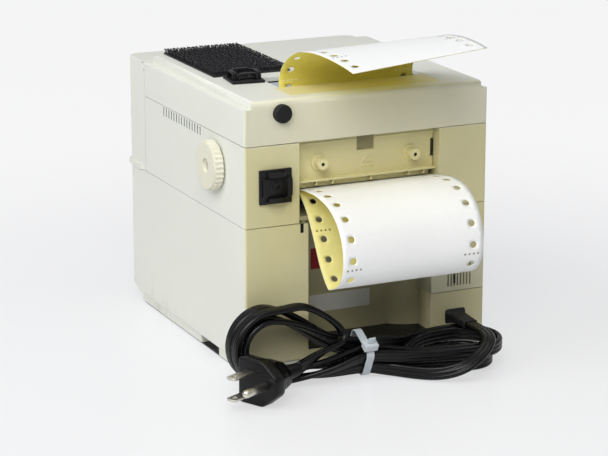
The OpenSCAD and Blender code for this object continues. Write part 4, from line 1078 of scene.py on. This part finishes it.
# %% Tape with its hooks
patch = block("hook_tape", (*tape_x, *tape_y, z_top, z_top + tape_t), None, 0.25)
rows_mod = patch.modifiers.new("hooks", "NODES")
rows_mod.node_group = group
wanted = {"Columns": 24, "Rows": 40, "Width": 0.0490, "Length": 0.0800, "Lean": 0.2, "Seed": 7,
          "Finish": looks["hook_tape"]}
for item in group.interface.items_tree:
    if item.name in wanted and item.in_out == "INPUT":
        rows_mod[item.identifier] = wanted[item.name]
bake(patch)
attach(patch, "case")
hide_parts("hook_patch")
print("hook tape with", len(patch.data.polygons), "faces")

# %% [markdown]
# ## Stick-on tie mounts
# Both mounts are a square base with a raised centre that four arches cross, so that a tie can be
# passed through in either direction. An arch is a bent strap: a section carried along a half loop.

# %% Arch and mount
def arch(name, span, rise, width, thick, place):
    half = [(-1.0, 0), (-0.97, 0.6), (-0.8, 1)]
    line = catmull([(a * span, h * rise) for a, h in half + [(-a, h) for a, h in half[::-1]]], 3)
    pts = []
    for i, (a, h) in enumerate(line):
        d = line[min(i + 1, len(line) - 1)] - line[max(i - 1, 0)]
        d = d / np.linalg.norm(d)
        for w, t in ((-width / 2, 0), (width / 2, 0), (width / 2, thick), (-width / 2, thick)):
            pts.append(place(a - d[1] * t, w, h + d[0] * t))
    return bevel(piece(name, pts, ring_faces(4, len(line)), "case"), 0.15, 1)


def joined_black(name, parts):
    """The parts as one black piece on the case."""
    bm = bmesh.new()
    for part in parts:
        mesh = part.data
        bm.from_mesh(mesh)
        bpy.data.objects.remove(part)
        bpy.data.meshes.remove(mesh)
    mesh = write_smooth(bm, bpy.data.meshes.new(name))
    mesh.set_sharp_from_angle(angle=math.radians(35))
    mesh.materials.clear()
    mesh.materials.append(looks["black_plastic"])
    obj = add(name, mesh)
    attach(obj, "case")
    return obj


def tie_mount(name, half, base, rise, place):
    """Square base, raised middle with a screw hole ring, and four arches."""
    mid = half * 0.55
    low_box = (-half, half, -half, half, 0, base)
    mid_box = (-mid, mid, -mid, mid, base - 0.2, base + 1.2)
    parts = [block(name + "_base", low_box, "case", 0.5, place, 3),
             block(name + "_mid", mid_box, "case", 0.3, place)]
    for i, (c, s) in enumerate([(1, 0), (0, 1), (-1, 0), (0, -1)]):
        def at_side(a, w, h, c=c, s=s):
            u, v = a, half * 0.74 + w
            return place(u * c - v * s, u * s + v * c, base - 0.1 + h)
        parts.append(arch("%s_arch_%d" % (name, i), half * 0.5, rise, half * 0.3, 0.9, at_side))
    ring = [(2.6, 0), (2.6, 0.9), (2.3, 1.2), (1.6, 1.2), (1.4, 0.9), (1.4, 0.0)]
    rings = [[place(u, v, base + 1.1 + h) for u, v in circle(r, 24)] for r, h in ring]
    parts.append(piece(name + "_ring", *loft(rings), "case"))
    obj = joined_black(name, parts)
    print(name, "with", len(obj.data.polygons), "faces")
    return obj


# %% The mount on top and the one at the rear
turn = math.radians(-6)
top_mid = sum(size_box("top_tie_mount"), Vector()) / 2
rear_low, rear_high = size_box("rear_tie_mount")
rear_mid, half_rear = (rear_low + rear_high) / 2, (rear_high.x - rear_low.x) / 2


def on_top(u, v, h):
    return ((top_mid.x + u * math.cos(turn) - v * math.sin(turn)) * MM,
            (top_mid.y + u * math.sin(turn) + v * math.cos(turn)) * MM,
            (z_top + h) * MM)


def on_rear(u, v, h):
    return ((rear_mid.x - u) * MM, (rear + h) * MM, (rear_mid.z + v) * MM)


mount_top = tie_mount("tie_mount_top", half_rear * 0.985, 1.8, 3.6, on_top)
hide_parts("top_tie_mount")
mount_rear = tie_mount("tie_mount_rear", half_rear, 1.8, 2.8, on_rear)
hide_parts("rear_tie_mount")
print("mounts of %.1f mm" % (2 * half_rear))

# %% [markdown]
# ## Marks moulded or stuck on the rear
# Ribs under the door's lip, the recess's blank label and plain red sticker, and painted shade in a
# few slots, bores and the door's notch. A slot's dark depth is painted as a thin black inlay, since
# nothing behind it shows.

# %% Door ribs, slots and the guide in the paper exit
def outline_plate(name, outline, body, depth, place, width=0.12):
    n = len(outline)
    pts = [place(a, b, 0) for a, b in outline] + [place(a, b, depth) for a, b in outline]
    faces = [tuple(range(n))[::-1], tuple(range(n, 2 * n))]
    faces += [(i, (i + 1) % n, n + (i + 1) % n, n + i) for i in range(n)]
    return bevel(piece(name, pts, faces, body), width, 1)


def on_wall(y):
    return lambda u, v, h: (u * MM, (y - 0.02 + h) * MM, v * MM)


def rect(x0, x1, z0, z1, radius=0.2):
    return round_outline([(x0, z0), (x1, z0), (x1, z1), (x0, z1)], radius, 3)


def on_side(x):
    return lambda u, v, h: ((x - 0.5 + h) * MM, u * MM, v * MM)


lip_z, skirt_y = size_box("rear_door")[0].z + 1.6, door_face - 1.3
lip_out, skirt_t, inlay = door_face + 3.4, 0.5, 0.12
skirt = [(-45.6, 109.8), (42.6, 109.8), (42.6, lip_z), (-45.6, lip_z)]
rib = [(skirt_y, 110.4), (lip_out, 111.6), (lip_out, lip_z), (skirt_y, lip_z)]
notch = rect(-7.8, 3.3, z_mid - 10.4, z_mid - 2)
# Thin black inlays: painted shade in the slots.
slots = {"door_slot": (rect(-48.2, -46.6, 121.2, 131.8), 0.1, on_wall(door_face - 0.03)),
         "bay_slot": (rect(42.3, 44.4, 85.2, 90.8), inlay, on_wall(rear)),
         "ribs_slot": (rect(-60.1, -58.7, 41.4, 46.9), inlay, on_wall(rear))}
skirt_plate = outline_plate("door_skirt", skirt, "door", skirt_t, on_wall(skirt_y - 0.48))
made = {"aged_plastic": [skirt_plate], "black_plastic": []}
for name, (outline, depth, place) in slots.items():
    made["black_plastic"].append(outline_plate(name, outline, "case", depth, place))
for i, x in enumerate([31.5, 20.8, -4.6, -29.9, -40.1]):
    plate = outline_plate("door_rib_%d" % i, rib, "door", 1.0, on_side(x), 0.15)
    made["aged_plastic"].append(plate)
# A black plug in each boss: painted shade in its bore.
for i, x in enumerate([29.2, -31.9]):
    bore = [[(u * MM, y * MM, v * MM) for u, v in circle(1.05, 20, (x, z_mid - 15))]
            for y in (door_face + 1.2, door_face + 7.6)]
    made["black_plastic"].append(piece("boss_bore_%d" % i, *loft(bore), "door"))
# A thin dark beige inlay: painted shade in the door's shallow notch.
notch_y = on_wall(door_face - 0.98)
made["shadow_plastic"] = [outline_plate("door_notch", notch, "door", inlay, notch_y)]
guide_box = (28, 43.6, exit_b - 26, exit_b - 5, z_top - 8, z_top - 2.4)
made["guide_plastic"] = [block("exit_guide", guide_box, "case", 0.8, None, 3)]

# %% Vents, the blank label and the red sticker in the recess
vent_from, vent_pitch, vent_half, vent_z = -37, 4.22, 0.62, (z_mid - 6.1, z_mid - 0.7)
# Dark bars set into the side vents: painted shade in the slots.
vent_shades = []
for side in (-1, 1):
    ends = sorted((side * (hw - 1.2), side * (hw - 0.05)))
    for i in range(15):
        y = vent_from + i * vent_pitch
        bar = (*ends, y - vent_half, y + vent_half, *vent_z)
        vent_shades.append(block("vent_%d" % i, bar, None, 0.05))
joined_black("side_vent_shades", vent_shades)
wall_y = rear - 25
for name, finish, outline, depth in (
        ("blank_label", "label_paper", rect(-14, 27, 26.5, 37.5, 1.0), 0.15),
        ("red_sticker", "red_paper", rect(19, 26, 54, 67, 0.5), 0.2)):
    made[finish] = [outline_plate(name, outline, "case", depth, on_wall(wall_y), 0.05)]
for finish, objects in made.items():
    for obj in objects:
        obj.data.materials.append(looks[finish])
print("made", [obj.name for objects in made.values() for obj in objects])

# %% [markdown]
# ## Light, floor and background
# Soft studio light: one lamp near the camera lights the rear, one at the knob's side and one above
# light the pale faces, and a dim world fills the rest. Camera rays, and glossy rays in part, see
# a white world and a floor lifted towards white. That lights nothing, and the shadow stays.

# %% Lamps
def lamp(name, place, target, size, power):
    data = bpy.data.lights.new(name, "AREA")
    data.energy, data.size = power, size
    aim(add(name, data), place, Vector(target) - Vector(place))


lamp("side_light", (1.5, 0.2, 1.3), (0, 0, 0.1), 1.2, 17)
lamp("rear_light", (0.75, 1.20, 1.25), (0, 0.1, 0.1), 1.0, 17.5)
lamp("top_light", (-0.4, 0.1, 1.9), (0, 0, 0.1), 1.5, 7.5)
print("three lamps made")

# %% World and floor
world = bpy.data.worlds.new("studio")
bpy.context.scene.world = world
world.use_nodes = True
world.node_tree.nodes.clear()
sky = Tree(world.node_tree.nodes, world.node_tree.links)
seen = sky.node("ShaderNodeLightPath", out="Is Camera Ray")
glossy = sky.node("ShaderNodeLightPath", out="Is Glossy Ray")
plain = seen + glossy * 0.25
near_white = srgb(250, 250, 251)
tint = sky.node("ShaderNodeMix", {"data_type": "RGBA"},
                {0: plain, 6: srgb(118, 120, 122), 7: near_white}, out=2)
glow = sky.node("ShaderNodeBackground", {}, {"Color": tint, "Strength": 1.0})
sky.node("ShaderNodeOutputWorld", {}, {"Surface": glow})

ground = Finish("floor", roughness=0.22, specular=0.5)
ground.feed("Base Color", ground.mix(ground.noise(3.0), srgb(232, 233, 235), srgb(236, 237, 238)))
seen = ground.node("ShaderNodeLightPath", out="Is Camera Ray")
glossy = ground.node("ShaderNodeLightPath", out="Is Glossy Ray")
white = ground.node("ShaderNodeEmission", {}, {"Color": near_white, "Strength": 1.0})
across, along = ground.axis("X"), ground.axis("Y") - 0.05
away = (across * across + along * along).math("SQRT").smooth(0.12, 0.6)
lift = (seen + glossy * 0.4) * (0.62 + away * 0.30)
lifted = ground.node("ShaderNodeMixShader", {}, {0: lift, 2: white})
ground.links.new(ground.shader.outputs[0], lifted.socket.node.inputs[1])
ground.links.new(lifted.socket, ground.output.inputs[0])
bpy.ops.mesh.primitive_plane_add(size=12, location=(0, 0, 0))
floor = bpy.context.object
floor.name = "floor"
floor.data.materials.append(looks["floor"])
bpy.context.scene.view_settings.view_transform = "Standard"
print("world and floor made")
